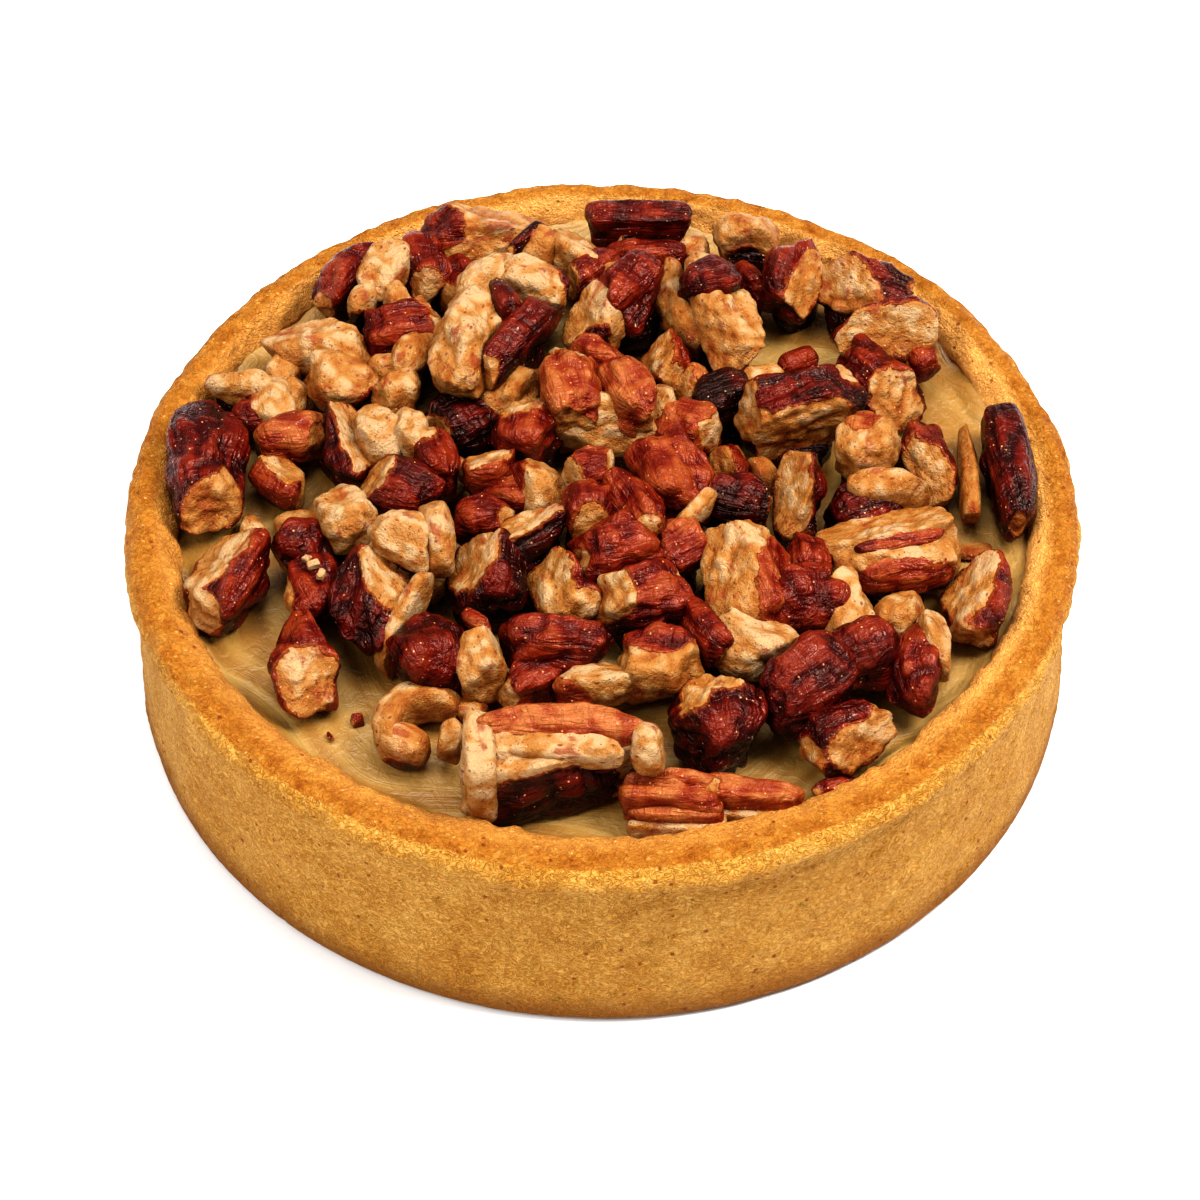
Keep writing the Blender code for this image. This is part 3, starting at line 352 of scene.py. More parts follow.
# Bits that are too small for the solids, small bits beside larger fragments, and three crystals on 26.
CHIPS = [
    nut(16, (-33, 15.2, 23.4), (5, 3.2, 4.6), yaw=80, peeled=True, flesh=0.65),
    nut(10, (10.4, 37.8, 23.2), (3.6, 2.8, 4.6), yaw=10, peeled=True, flesh=0.6),
    nut(58, (-16, 3.1, 22.5), (3.4, 2.8, 3.2), yaw=40, peeled=True, flesh=0.6),
    nut(77, (-12.7, -19.8, 27.2), (3.8, 1.6, 2.4), yaw=-40, skin=0.7),
    nut(51, (17.3, 4.5, 23), (5.2, 2.4, 3.6), yaw=-60, peeled=True, flesh=0.5),
    nut(78, (-13.2, -27.2, 22), (3.2, 2.4, 3), peeled=True, flesh=0.45),
    nut(79, (4.4, -36.8, 27.8), (3.4, 4.2, 5.8), peeled=True, flesh=0.9, worn=0),
    nut(88, (23.3, -36.5, 21.5), (5.5, 1.8, 2), yaw=22),
    nut(89, (39, -4, 20.3), (4.2, 2.4, 0.8), peeled=True, flesh=0.35),
    nut(90, (31.4, 6.7, 23.5), (3.5, 1.8, 3), peeled=True, flesh=0.6),
    nut(91, (-24.8, -26.9, 20.3), (1.4, 1.4, 1.3), yaw=20, blunt=6, skin=0.6),
    nut(92, (-27.3, -29, 20.2), (1.5, 0.5, 0.5), yaw=-60, skin=0.5),
    nut(26, (-29.4, -12.3, 27.5), (1.3, 0.9, 0.8), yaw=20, blunt=6, peeled=True, flesh=1.2, worn=0),
    nut(26, (-28.5, -13.5, 27.3), (1.1, 0.8, 0.7), yaw=70, blunt=6, peeled=True, flesh=1.2, worn=0),
    nut(26, (-30.1, -11.3, 27.2), (0.9, 0.8, 0.7), yaw=-30, blunt=6, peeled=True, flesh=1.2, worn=0),
]

# Each visible object, the pieces in it, and the solids that it stands for.
GROUPS = {
    "pecans_back_left": (range(1, 17), ("pecan_heap", "pecan_9")),
    "pecans_left": (
        range(17, 30),
        ("pecan_heap", "pecan_17", "pecan_25", "pecan_27", "pecan_28", "pecan_29"),
    ),
    "pecans_middle": (range(30, 38), ("pecan_heap",)),
    "pecans_back_right": (range(38, 45), ("pecan_38", "pecan_39", "pecan_44")),
    "pecans_centre": (range(45, 63), ("pecan_heap",)),
    "pecans_right": (
        range(63, 75),
        ("pecan_heap", "pecan_69", "pecan_70", "pecan_71", "pecan_72", "pecan_74"),
    ),
    "pecans_front": (range(75, 88), ("pecan_heap", "pecan_78", "pecan_79", "pecan_86", "pecan_87")),
}


def random_unit(seed, cell):
    """A repeatable unit vector for each lattice cell. The large numbers only stir the bits."""
    mixed = cell[:, 0] * 73856093 ^ cell[:, 1] * 19349663 ^ cell[:, 2] * 83492791 ^ seed * 2654435761
    spread = []
    for step in (1, 2, 3):
        value = (mixed + step * 0x9E3779B9) & 0xFFFFFFFF
        value = ((value ^ value >> 16) * 0x45D9F3B) & 0xFFFFFFFF
        value = ((value ^ value >> 16) * 0x45D9F3B) & 0xFFFFFFFF
        spread.append((value ^ value >> 16) / 2147483648.0 - 1.0)
    vectors = np.stack(spread, 1)
    return vectors / np.maximum(np.linalg.norm(vectors, axis=1, keepdims=True), 1e-6)


def noise(points, scale, seed):
    """Smooth gradient noise, from about -1 to 1. scale is a lump's size, one number or one for each axis."""
    spots = np.asarray(points) / scale + 1000.0
    cell = np.floor(spots).astype(np.int64)
    inside = spots - cell
    ease = inside ** 3 * (inside * (inside * 6 - 15) + 10)
    total = np.zeros(len(spots))
    for corner in itertools.product((0, 1), repeat=3):
        corner = np.array(corner)
        slope = random_unit(seed, cell + corner)
        weight = np.prod(np.where(corner, ease, 1 - ease), axis=1)
        total += weight * np.sum(slope * (inside - corner), axis=1)
    return total * 1.6


def smooth_step(low, high, value):
    """0 at low and 1 at high, with soft ends. low may be the larger of the two."""
    share = np.clip((value - low) / (high - low), 0.0, 1.0)
    return share * share * (3.0 - 2.0 * share)


def turn_matrix(turn):
    """Rotation of a fragment from its yaw, pitch and roll in degrees."""
    yaw, pitch, roll = np.radians(turn)
    about_z = Matrix.Rotation(yaw, 3, "Z")
    about_y = Matrix.Rotation(-pitch, 3, "Y")
    about_x = Matrix.Rotation(roll, 3, "X")
    return np.array(about_z @ about_y @ about_x)


def facing(azimuth, elevation):
    """Unit vector towards an azimuth and elevation in degrees."""
    az, el = math.radians(azimuth), math.radians(elevation)
    return np.array([math.cos(el) * math.cos(az), math.cos(el) * math.sin(az), math.sin(el)])


BALLS = {}


def ball(cuts):
    """Unit rays and faces of a cube that is swollen to a ball, with even faces."""
    if cuts not in BALLS:
        shape = bmesh.new()
        bmesh.ops.create_cube(shape, size=2.0)
        bmesh.ops.subdivide_edges(shape, edges=shape.edges[:], cuts=cuts, use_grid_fill=True)
        rays = np.tan(np.array([vert.co[:] for vert in shape.verts]) * math.pi / 4)
        rays /= np.linalg.norm(rays, axis=1, keepdims=True)
        faces = np.array([[vert.index for vert in face.verts] for face in shape.faces])
        shape.free()
        BALLS[cuts] = (rays, faces)
    return BALLS[cuts]


def crease(value):
    """Rounded lobes with a thin crease between them, from noise. About zero on average."""
    return np.abs(value) - 0.24


def fractures(part, draw, spin):
    """Each plane that a fragment is broken along: its direction, its depth and if it shows flesh."""
    planes = [(facing(azimuth, elevation), depth, True) for azimuth, elevation, depth in part.cuts]
    for _ in range(FACET_COUNT if part.worn else 0):
        heading = draw.normal(size=3)
        planes.append((heading / np.linalg.norm(heading), draw.uniform(*FACET_DEPTH), False))
    for side in (-1, 1):
        heading = np.array([side, *draw.uniform(-0.5, 0.5, size=2)])
        heading = spin @ heading / np.linalg.norm(heading)
        depth = draw.uniform(*END_DEPTH)
        if draw.random() < part.worn:
            planes.append((heading, depth, True))
    return planes


def fragment(part, seed, detail=1.0):
    """Points of a fragment in millimetres, its faces, its look and its own coordinates."""
    cuts = int(np.clip(round(max(part.size) * CUTS_PER_MM), *CUT_RANGE) * detail)
    rays, faces = ball(cuts)
    draw = np.random.default_rng(seed)
    half = np.array(part.size) / 2
    points = rays / (np.abs(rays) ** part.blunt).sum(1, keepdims=True) ** (1 / part.blunt)
    lump = np.zeros(len(rays))
    for strength, closeness in LUMPS:
        heading = draw.normal(size=3)
        heading /= np.linalg.norm(heading)
        lump += strength * np.sin(closeness * rays @ heading + draw.uniform(0, math.tau))
    points = points * (1 + lump[:, None])
    furrow = np.exp(-(points[:, 1] / FURROW_WIDTH) ** 2) * smooth_step(-0.2, 0.5, points[:, 2])
    points[:, 2] *= 1 - part.groove * furrow
    points = points * half
    points[:, 1:] *= 1 - part.taper * points[:, :1] / half[0]
    if part.bend:
        radius = part.size[0] / math.radians(part.bend)
        angle = points[:, 0] / radius
        inward = radius - points[:, 1]
        points[:, 0] = inward * np.sin(angle)
        points[:, 1] = radius - inward * np.cos(angle)
    spin = turn_matrix(part.turn)
    points = points @ spin.T

    # How many millimetres each point lies inside the flesh, less than zero on skin.
    bare = np.full(len(points), FAR_INSIDE if part.peeled else -FAR_INSIDE)
    limit = np.full(len(points), np.inf)
    for towards, depth, shows_flesh in fractures(part, draw, spin):
        reach = depth * np.linalg.norm(half * (spin.T @ towards))
        ahead = points @ towards
        limit = np.minimum(limit, np.where(ahead > 0, reach / np.maximum(ahead, 1e-6), np.inf))
        if shows_flesh and not part.peeled and part.flesh is not None:
            bare = np.maximum(bare, (ahead - reach) * 1.2)
    for azimuth, elevation, span in part.patches:
        middle = half * (spin.T @ facing(azimuth, elevation))
        middle /= np.linalg.norm(middle)
        angle = np.degrees(np.arccos(np.clip(rays @ middle, -1, 1)))
        inside = (span - angle) / DEGREES_PER_RADIAN * half.mean()
        bare = np.minimum(bare, -inside) if part.peeled else np.maximum(bare, inside)

    # Fractures meet the rounded surface in a slightly softened edge.
    points = points * ((1 + limit[:, None] ** -CUT_EDGE) ** (-1 / CUT_EDGE))
    own = points @ spin
    bare += sum(height * noise(own, size, seed + 7 + step) for step, (height, size) in enumerate(BORDER))
    flesh = smooth_step(-0.2, 0.2, bare)

    share = min(1.2, half.min() / FULL_RELIEF)
    lobes = crease(noise(own, LOBE_SIZE, seed))
    across = crease(noise(own, ACROSS_SIZE, seed + 2))
    along = crease(noise(own, ALONG_SIZE, seed + 3))
    knobs = crease(noise(own, KNOB_SIZE, seed + 4))
    grains = noise(own, GRAIN_SIZE, seed + 5)
    skin_height = 0.75 * lobes + 0.36 * across + 0.36 * along + 0.12
    flesh_height = 0.4 * lobes + 0.36 * knobs + 0.2 * grains
    height = 0.5 * noise(own, WAVE_SIZE, seed + 1) + (1 - flesh) * skin_height + flesh * flesh_height
    outward = points / np.linalg.norm(points, axis=1, keepdims=True)
    points = points + outward * (height * share)[:, None] + np.array(part.at)
    # Height of ridges over hollows, which the material uses for painted shade in the hollows and painted
    # light on the ridges.
    ridge_shading = (1 - flesh) * (lobes + 0.5 * across + 0.5 * along) + flesh * (lobes * 0.6 + knobs * 0.8)
    # Painted shade: the tones are darker where the surface faces sideways or down.
    skin_tone = part.skin + UNDERSIDE_SHADE_SKIN * (outward[:, 2] - 0.5)
    flesh_tone = (0.5 if part.flesh is None else part.flesh) + UNDERSIDE_SHADE_FLESH * (outward[:, 2] - 0.5)
    look = np.stack([smooth_step(-0.6, 0.6, bare), skin_tone, flesh_tone, smooth_step(-0.3, 0.3, ridge_shading)], 1)
    return points, faces, look, own + draw.uniform(-PLACE_SPREAD, PLACE_SPREAD, size=3)


def mesh_object(name, points, faces, material):
    """A smooth shaded mesh in metres from points in millimetres."""
    mesh = bpy.data.meshes.new(name)
    mesh.from_pydata((np.asarray(points) * MM).tolist(), [], np.asarray(faces).tolist())
    mesh.update()
    mesh.shade_smooth()
    mesh.materials.append(material)
    thing = bpy.data.objects.new(name, mesh)
    bpy.context.scene.collection.objects.link(thing)
    return thing


def add_values(thing, name, values, kind):
    """Store one value, vector or colour for each point."""
    field = {"FLOAT": "value", "FLOAT_VECTOR": "vector", "FLOAT_COLOR": "color"}[kind]
    attribute = thing.data.attributes.new(name, kind, "POINT")
    attribute.data.foreach_set(field, np.asarray(values, np.float32).ravel())


def joined_fragments(name, parts, material, detail=1.0):
    """One object of many fragments. Each part comes with its seed."""
    points, faces, looks, places = [], [], [], []
    start = 0
    for seed, part in parts:
        spots, quads, look, local = fragment(part, seed, detail)
        points.append(spots)
        faces.append(quads + start)
        looks.append(look)
        places.append(local)
        start += len(spots)
    thing = mesh_object(name, np.concatenate(points), np.concatenate(faces), material)
    add_values(thing, "look", np.concatenate(looks), "FLOAT_COLOR")
    add_values(thing, "place", np.concatenate(places), "FLOAT_VECTOR")
    return thing


def supports():
    """Fragments under every pecan that lies high in the heap, so that none hangs in the air; their
    near-black skin is painted shade for the gaps between pecans.
    """
    draw = np.random.default_rng(4)
    found = []
    for index, part in enumerate(LAYOUT):
        under = part.at[2] - part.size[2] / 2
        if under < SUPPORT_FROM:
            continue
        length = min(part.size[0] * 0.7, SUPPORT_LENGTH)
        height = under - FILLING_TOP + 3.0
        at = (part.at[0], part.at[1], FILLING_TOP - 0.6 + height / 2)
        yaw = part.turn[0] + draw.uniform(-25, 25)
        support = nut(0, at, (length, part.size[1] * 0.8, height), yaw=yaw, skin=SUPPORT_SHADE_SKIN)
        found.append((SUPPORT_SEEDS + index, support))
    return found


class Graph:
    """A material's node graph, with short calls for the nodes it needs."""

    def __init__(self, name):
        self.material = bpy.data.materials.new(name)
        self.material.use_nodes = True
        self.tree = self.material.node_tree
        self.shader = self.tree.nodes["Principled BSDF"]

    def put(self, socket, value):
        """Link another node's output to a socket, or set the socket's own value."""
        if isinstance(value, bpy.types.NodeSocket):
            self.tree.links.new(value, socket)
        else:
            socket.default_value = value

    def node(self, kind, settings=(), **inputs):
        """A node of a kind with its settings. An input's name has _ for each space."""
        made = self.tree.nodes.new(kind)
        for key, value in dict(settings).items():
            setattr(made, key, value)
        for key, value in inputs.items():
            self.put(made.inputs[key.replace("_", " ")], value)
        return made

    def maths(self, operation, a, b=0.0, c=0.0):
        made = self.node("ShaderNodeMath", {"operation": operation})
        for socket, value in zip(made.inputs, (a, b, c)):
            self.put(socket, value)
        return made.outputs[0]

    def spread(self, value, amount, base):
        """The base, and an amount of how far the value lies above or below one half."""
        return self.maths("MULTIPLY_ADD", self.maths("SUBTRACT", value, 0.5), amount, base)

    def off_middle(self, value):
        """How far a value lies from one half."""
        return self.maths("ABSOLUTE", self.maths("SUBTRACT", value, 0.5))

    def mix(self, share, a, b):
        made = self.node("ShaderNodeMix", {"data_type": "RGBA"})
        # The share and the two colours.
        for index, value in ((0, share), (6, a), (7, b)):
            if isinstance(value, tuple):
                value = (*value, 1.0)
            self.put(made.inputs[index], value)
        return made.outputs[2]

    def stain(self, base, share, amount, colour):
        """The base with another colour over it, as strong as the share times the amount."""
        return self.mix(self.maths("MULTIPLY", share, amount), base, colour)

    def ramp(self, value, *stops):
        """A colour or a number along stops of (place, value)."""
        made = self.tree.nodes.new("ShaderNodeValToRGB")
        band = made.color_ramp.elements
        for index, (place, colour) in enumerate(stops):
            element = band[index] if index < 2 else band.new(place)
            element.position = place
            if not isinstance(colour, tuple):
                colour = (colour,) * 3
            element.color = (*colour, 1.0)
        self.put(made.inputs[0], value)
        return made.outputs[0]

    def attribute(self, name):
        return self.node("ShaderNodeAttribute", {"attribute_name": name})

    def scaled(self, vector, amounts):
        made = self.node("ShaderNodeVectorMath", {"operation": "MULTIPLY"})
        self.put(made.inputs[0], vector)
        self.put(made.inputs[1], amounts)
        return made.outputs[0]

    def noise(self, vector, scale, detail, roughness=0.5, distortion=0.0):
        shape = {"Detail": detail, "Roughness": roughness, "Distortion": distortion}
        return self.node("ShaderNodeTexNoise", Vector=vector, Scale=scale, **shape).outputs[0]

    def cells(self, vector, scale):
        return self.node("ShaderNodeTexVoronoi", Vector=vector, Scale=scale)

    def bump(self, height, distance, strength):
        return self.node("ShaderNodeBump", Height=height, Distance=distance, Strength=strength).outputs[0]

    def millimetres(self):
        """The object's own coordinates in millimetres."""
        coordinates = self.tree.nodes.new("ShaderNodeTexCoord")
        return self.scaled(coordinates.outputs["Object"], (1 / MM,) * 3)

    def finish(self, **sockets):
        """Set the shader's own sockets, and give the material."""
        for key, value in sockets.items():
            self.put(self.shader.inputs[key.replace("_", " ")], value)
        return self.material


def specks(graph, vector, scale, radius, share):
    """Small round dots in a share of the cells, faded out at the radius, which counts in cells."""
    cell = graph.cells(vector, scale)
    random = graph.node("ShaderNodeSeparateColor", Color=cell.outputs["Color"]).outputs[0]
    chosen = graph.maths("LESS_THAN", random, share)
    inside = graph.ramp(cell.outputs["Distance"], (radius * 0.6, 1.0), (radius, 0.0))
    return graph.maths("MULTIPLY", inside, chosen)


def pecan_material():
    graph = Graph("pecan")
    look = graph.attribute("look")
    parts = graph.node("ShaderNodeSeparateColor", Color=look.outputs["Color"])
    bare, skin_tone, flesh_tone = parts.outputs
    ridge_shading = look.outputs["Alpha"]
    place = graph.attribute("place").outputs["Vector"]

    # Skin: painted shade in the furrows and painted light on the ridges, which are redder.
    streaks = graph.noise(graph.scaled(place, (0.35, 1.0, 1.0)), 1.1, 3.0, 0.6)
    blotches = graph.noise(place, 0.35, 2.0)
    tone = graph.spread(streaks, 0.25, skin_tone)
    tone = graph.spread(blotches, 0.3, tone)
    tone = graph.spread(ridge_shading, 0.35, tone)
    skin = graph.ramp(
        tone,
        (0.0, (0.01, 0.001, 0.001)),
        (0.2, (0.042, 0.0015, 0.001)),
        (0.4, (0.105, 0.005, 0.0016)),
        (0.6, (0.19, 0.02, 0.005)),
        (0.8, (0.275, 0.058, 0.014)),
        (1.0, (0.35, 0.115, 0.032)),
    )

    # Fine wrinkles across the skin, with painted shade at their bottom.
    wrinkles = graph.noise(graph.scaled(place, (1.6, 0.7, 0.7)), 0.8, 2.0, 0.55, 0.9)
    creases = graph.noise(graph.scaled(place, (0.35, 1.7, 1.7)), 0.8, 3.0, 0.55, 0.8)
    # Painted shade: a near-black line along the bottom of each wrinkle.
    furrow = graph.ramp(graph.off_middle(wrinkles), (0.0, 0.35), (0.025, 0.0))
    skin = graph.mix(furrow, skin, (0.03, 0.002, 0.001))

    # Flesh: cream, with amber stains, painted shade in the hollows, red-brown traces of skin, thin veins and
    # dark dots.
    stains = graph.noise(place, 0.45, 3.0, 0.55)
    tint = graph.spread(stains, 1.0, flesh_tone)
    tint = graph.spread(ridge_shading, 0.55, tint)
    flesh = graph.ramp(
        tint,
        (0.0, (0.15, 0.034, 0.006)),
        (0.25, (0.29, 0.09, 0.013)),
        (0.6, (0.38, 0.165, 0.038)),
        (0.85, (0.435, 0.23, 0.084)),
        (1.0, (0.49, 0.31, 0.155)),
    )
    stretched = graph.scaled(place, (0.6, 1.0, 1.3))
    large_dots = specks(graph, stretched, 0.95, 0.2, 0.55)
    small_dots = specks(graph, place, 1.9, 0.24, 0.22)
    dots = graph.maths("MAXIMUM", large_dots, small_dots)
    vein = graph.ramp(graph.off_middle(graph.noise(place, 0.7, 3.0, 0.55)), (0.0, 1.0), (0.012, 0.0))
    veined = graph.maths("MULTIPLY", vein, graph.ramp(stains, (0.46, 1.0), (0.54, 0.0)))
    traces = graph.ramp(graph.spread(streaks, 0.8, blotches), (0.6, 0.0), (0.72, 0.75))
    flesh = graph.mix(traces, flesh, (0.26, 0.045, 0.012))
    flesh = graph.stain(flesh, graph.maths("MAXIMUM", dots, veined), 0.8, (0.15, 0.028, 0.008))

    # The torn edge of the skin: a thin dark line, with amber flesh on one side and orange skin on the other.
    ragged = graph.spread(graph.noise(place, 2.0, 3.0, 0.6), 0.7, bare)
    share = graph.ramp(ragged, (0.5, 0.0), (0.55, 1.0))
    border = graph.ramp(ragged, (0.36, 0.0), (0.47, 1.0), (0.53, 1.0), (0.6, 0.0))
    amber = graph.ramp(ragged, (0.54, 1.0), (0.8, 0.0))
    flesh = graph.stain(flesh, amber, 0.5, (0.42, 0.12, 0.015))
    ember = graph.ramp(ragged, (0.12, 0.0), (0.45, 0.6))
    skin = graph.mix(ember, skin, (0.36, 0.085, 0.014))
    colour = graph.mix(share, skin, flesh)
    colour = graph.stain(colour, border, 0.5, (0.07, 0.005, 0.002))
    flecks = specks(graph, place, 1.5, 0.17, 0.3)
    colour = graph.stain(colour, flecks, 0.8, (0.7, 0.36, 0.15))

    height_skin = graph.maths("MULTIPLY_ADD", wrinkles, 0.6, creases)
    height_flesh = graph.noise(place, 1.4, 4.0, 0.7)
    height = graph.node("ShaderNodeMix", {"data_type": "FLOAT"}, Factor=share)
    graph.put(height.inputs[2], height_skin)
    graph.put(height.inputs[3], height_flesh)
    normal = graph.bump(height.outputs[0], 0.8 * MM, 0.8)
    roughness = graph.ramp(share, (0.0, 0.24), (1.0, 0.36))
    return graph.finish(
        Base_Color=colour, Roughness=roughness, Normal=normal,
        Specular_IOR_Level=0.36, Specular_Tint=(1.0, 0.72, 0.6, 1.0),
    )


def crust_material():
    graph = Graph("crust")
    place = graph.millimetres()
    rim = graph.attribute("browned").outputs["Fac"]
    foot = graph.attribute("foot").outputs["Fac"]
    grain = graph.noise(place, 1.9, 4.0, 0.7, 0.8)
    patches = graph.noise(place, 0.16, 3.0)
    blotches = graph.noise(place, 0.5, 3.0, 0.6)
    crumbs = graph.cells(place, 1.7).outputs["Distance"]
    winding = graph.noise(graph.scaled(place, (1.0, 1.0, 1.5)), 0.95, 1.0, 0.5, 2.2)
    strands = graph.ramp(graph.off_middle(winding), (0.0, 0.0), (0.09, 1.0))

    # Side: pale tan with short winding strands.
    mixed = graph.spread(grain, 1.1, 0.3)
    mixed = graph.spread(patches, 0.6, mixed)
    mixed = graph.maths("MULTIPLY_ADD", strands, 0.32, mixed)
    side = graph.ramp(
        mixed,
        (0.1, (0.34, 0.125, 0.012)),
        (0.5, (0.55, 0.265, 0.043)),
        (0.9, (0.72, 0.43, 0.125)),
    )
    side = graph.stain(side, foot, 0.8, (0.26, 0.085, 0.006))

    # Rim: golden orange, browner in patches, with pale crumbs, painted light on the inner slope and a brown
    # seam.
    top = graph.ramp(
        graph.spread(grain, 1.0, blotches),
        (0.2, (0.3, 0.086, 0.007)),
        (0.42, (0.405, 0.15, 0.018)),
        (0.6, (0.48, 0.2, 0.029)),
        (0.85, (0.58, 0.285, 0.065)),
    )
    pale = specks(graph, graph.scaled(place, (1.0, 1.5, 1.0)), 0.9, 0.22, 0.35)
    top = graph.stain(top, pale, 0.55, (0.8, 0.5, 0.18))
    # Painted light: the inner slope is paler, most of all at the back right.
    top = graph.mix(graph.attribute("inner").outputs["Fac"], top, (0.92, 0.46, 0.13))
    seam = graph.spread(blotches, 1.2, graph.attribute("seam").outputs["Fac"])
    top = graph.mix(graph.ramp(seam, (0.3, 0.0), (0.8, 0.85)), top, (0.26, 0.05, 0.006))
    ragged = graph.spread(blotches, 0.6, rim)
    colour = graph.mix(graph.ramp(ragged, (0.3, 0.0), (0.7, 1.0)), side, top)
    # Small dark dots: painted shade in tiny pits.
    pits = specks(graph, place, 0.6, 0.17, 0.35)
    colour = graph.stain(colour, pits, 0.75, (0.2, 0.03, 0.006))
    rough = graph.maths("MULTIPLY_ADD", crumbs, -0.4, graph.maths("MULTIPLY_ADD", strands, 0.3, grain))
    normal = graph.bump(rough, 0.6 * MM, 0.85)
    return graph.finish(Base_Color=colour, Normal=normal, Roughness=0.6, Specular_IOR_Level=0.15)


def cream_material():
    graph = Graph("cream")
    place = graph.millimetres()
    clouds = graph.noise(place, 0.12, 3.0)
    strokes = graph.attribute("stroke").outputs["Fac"]
    colour = graph.ramp(
        graph.spread(clouds, 0.5, strokes),
        (0.1, (0.29, 0.146, 0.032)),
        (0.5, (0.34, 0.188, 0.047)),
        (0.9, (0.395, 0.238, 0.073)),
    )
    dots = specks(graph, place, 0.35, 0.085, 0.6)
    colour = graph.stain(colour, dots, 0.8, (0.16, 0.05, 0.02))
    flow = graph.scaled(graph.attribute("flow").outputs["Vector"], (1.0, 0.22, 1.0))
    ripples = graph.noise(flow, 1.1, 3.0, 0.6, 0.4)
    dents = graph.noise(place, 0.7, 3.0, 0.6, 1.0)
    height = graph.maths("ADD", ripples, dents)
    normal = graph.bump(height, 0.5 * MM, 0.5)
    return graph.finish(
        Base_Color=colour, Normal=normal, Roughness=0.38,
        Subsurface_Weight=0.2, Subsurface_Radius=(1.0, 0.6, 0.3), Subsurface_Scale=1.5 * MM,
    )


def arc(middle, radii, start, end, count):
    """Points on a stretch of an ellipse, angles in degrees."""
    angles = np.radians(np.linspace(start, end, count))
    return np.stack([middle[0] + radii[0] * np.cos(angles), middle[1] + radii[1] * np.sin(angles)], 1)


def line(start, end, count):
    """Points on a straight stretch."""
    return np.linspace(start, end, count)


def rim_wave(angle):
    """Uneven height of the rim, between about -1 and 1, strongest at the back."""
    back = 0.6 + 0.4 * np.sin(angle)
    wave = np.sin(3 * angle + 0.7) + 0.7 * np.sin(7 * angle + 2.1) + 0.6 * np.sin(16 * angle)
    return back * wave / 2.3


def crust_profile():
    """The crust's outline from inside the wall over the rim and down the side, then under it."""
    slope = (CREST_RADIUS - WALL_INSIDE_TOP, PIE_HEIGHT - WALL_INSIDE_HEIGHT)
    inner = arc((CREST_RADIUS, WALL_INSIDE_HEIGHT), slope, 180, 90, 12)
    outer = arc((CREST_RADIUS, LIP_HEIGHT), (LIP_RADIUS - CREST_RADIUS, PIE_HEIGHT - LIP_HEIGHT), 90, 0, 12)
    throat = LIP_RADIUS - LIP_UNDERCUT
    neck = arc((throat, NECK_HEIGHT + NECK_BEND), (NECK_RADIUS - throat, NECK_RISE), 90, 0, 7)
    side = line((NECK_RADIUS, NECK_HEIGHT + NECK_BEND), (BASE_RADIUS, BASE_ROUND), 46)
    foot = arc((BASE_RADIUS - BASE_ROUND, BASE_ROUND), (BASE_ROUND, BASE_ROUND), 0, -90, 5)
    under = line((BASE_RADIUS - BASE_ROUND, 0.0), (0.4, 0.0), 14)
    inside = line((WALL_INSIDE_TOP, WALL_INSIDE_FOOT), (WALL_INSIDE_TOP, WALL_INSIDE_HEIGHT), 6)
    return np.concatenate([inside[:-1], inner, outer[1:], neck[1:], side[1:], foot[1:], under[1:]])


def grid_faces(rows, columns):
    """Quads of a grid that closes on itself along its columns."""
    row, column = np.meshgrid(np.arange(rows - 1), np.arange(columns), indexing="ij")
    row, column = row.ravel(), column.ravel()
    after = (column + 1) % columns
    here, beyond = row * columns, (row + 1) * columns
    return np.stack([here + column, beyond + column, beyond + after, here + after], 1)


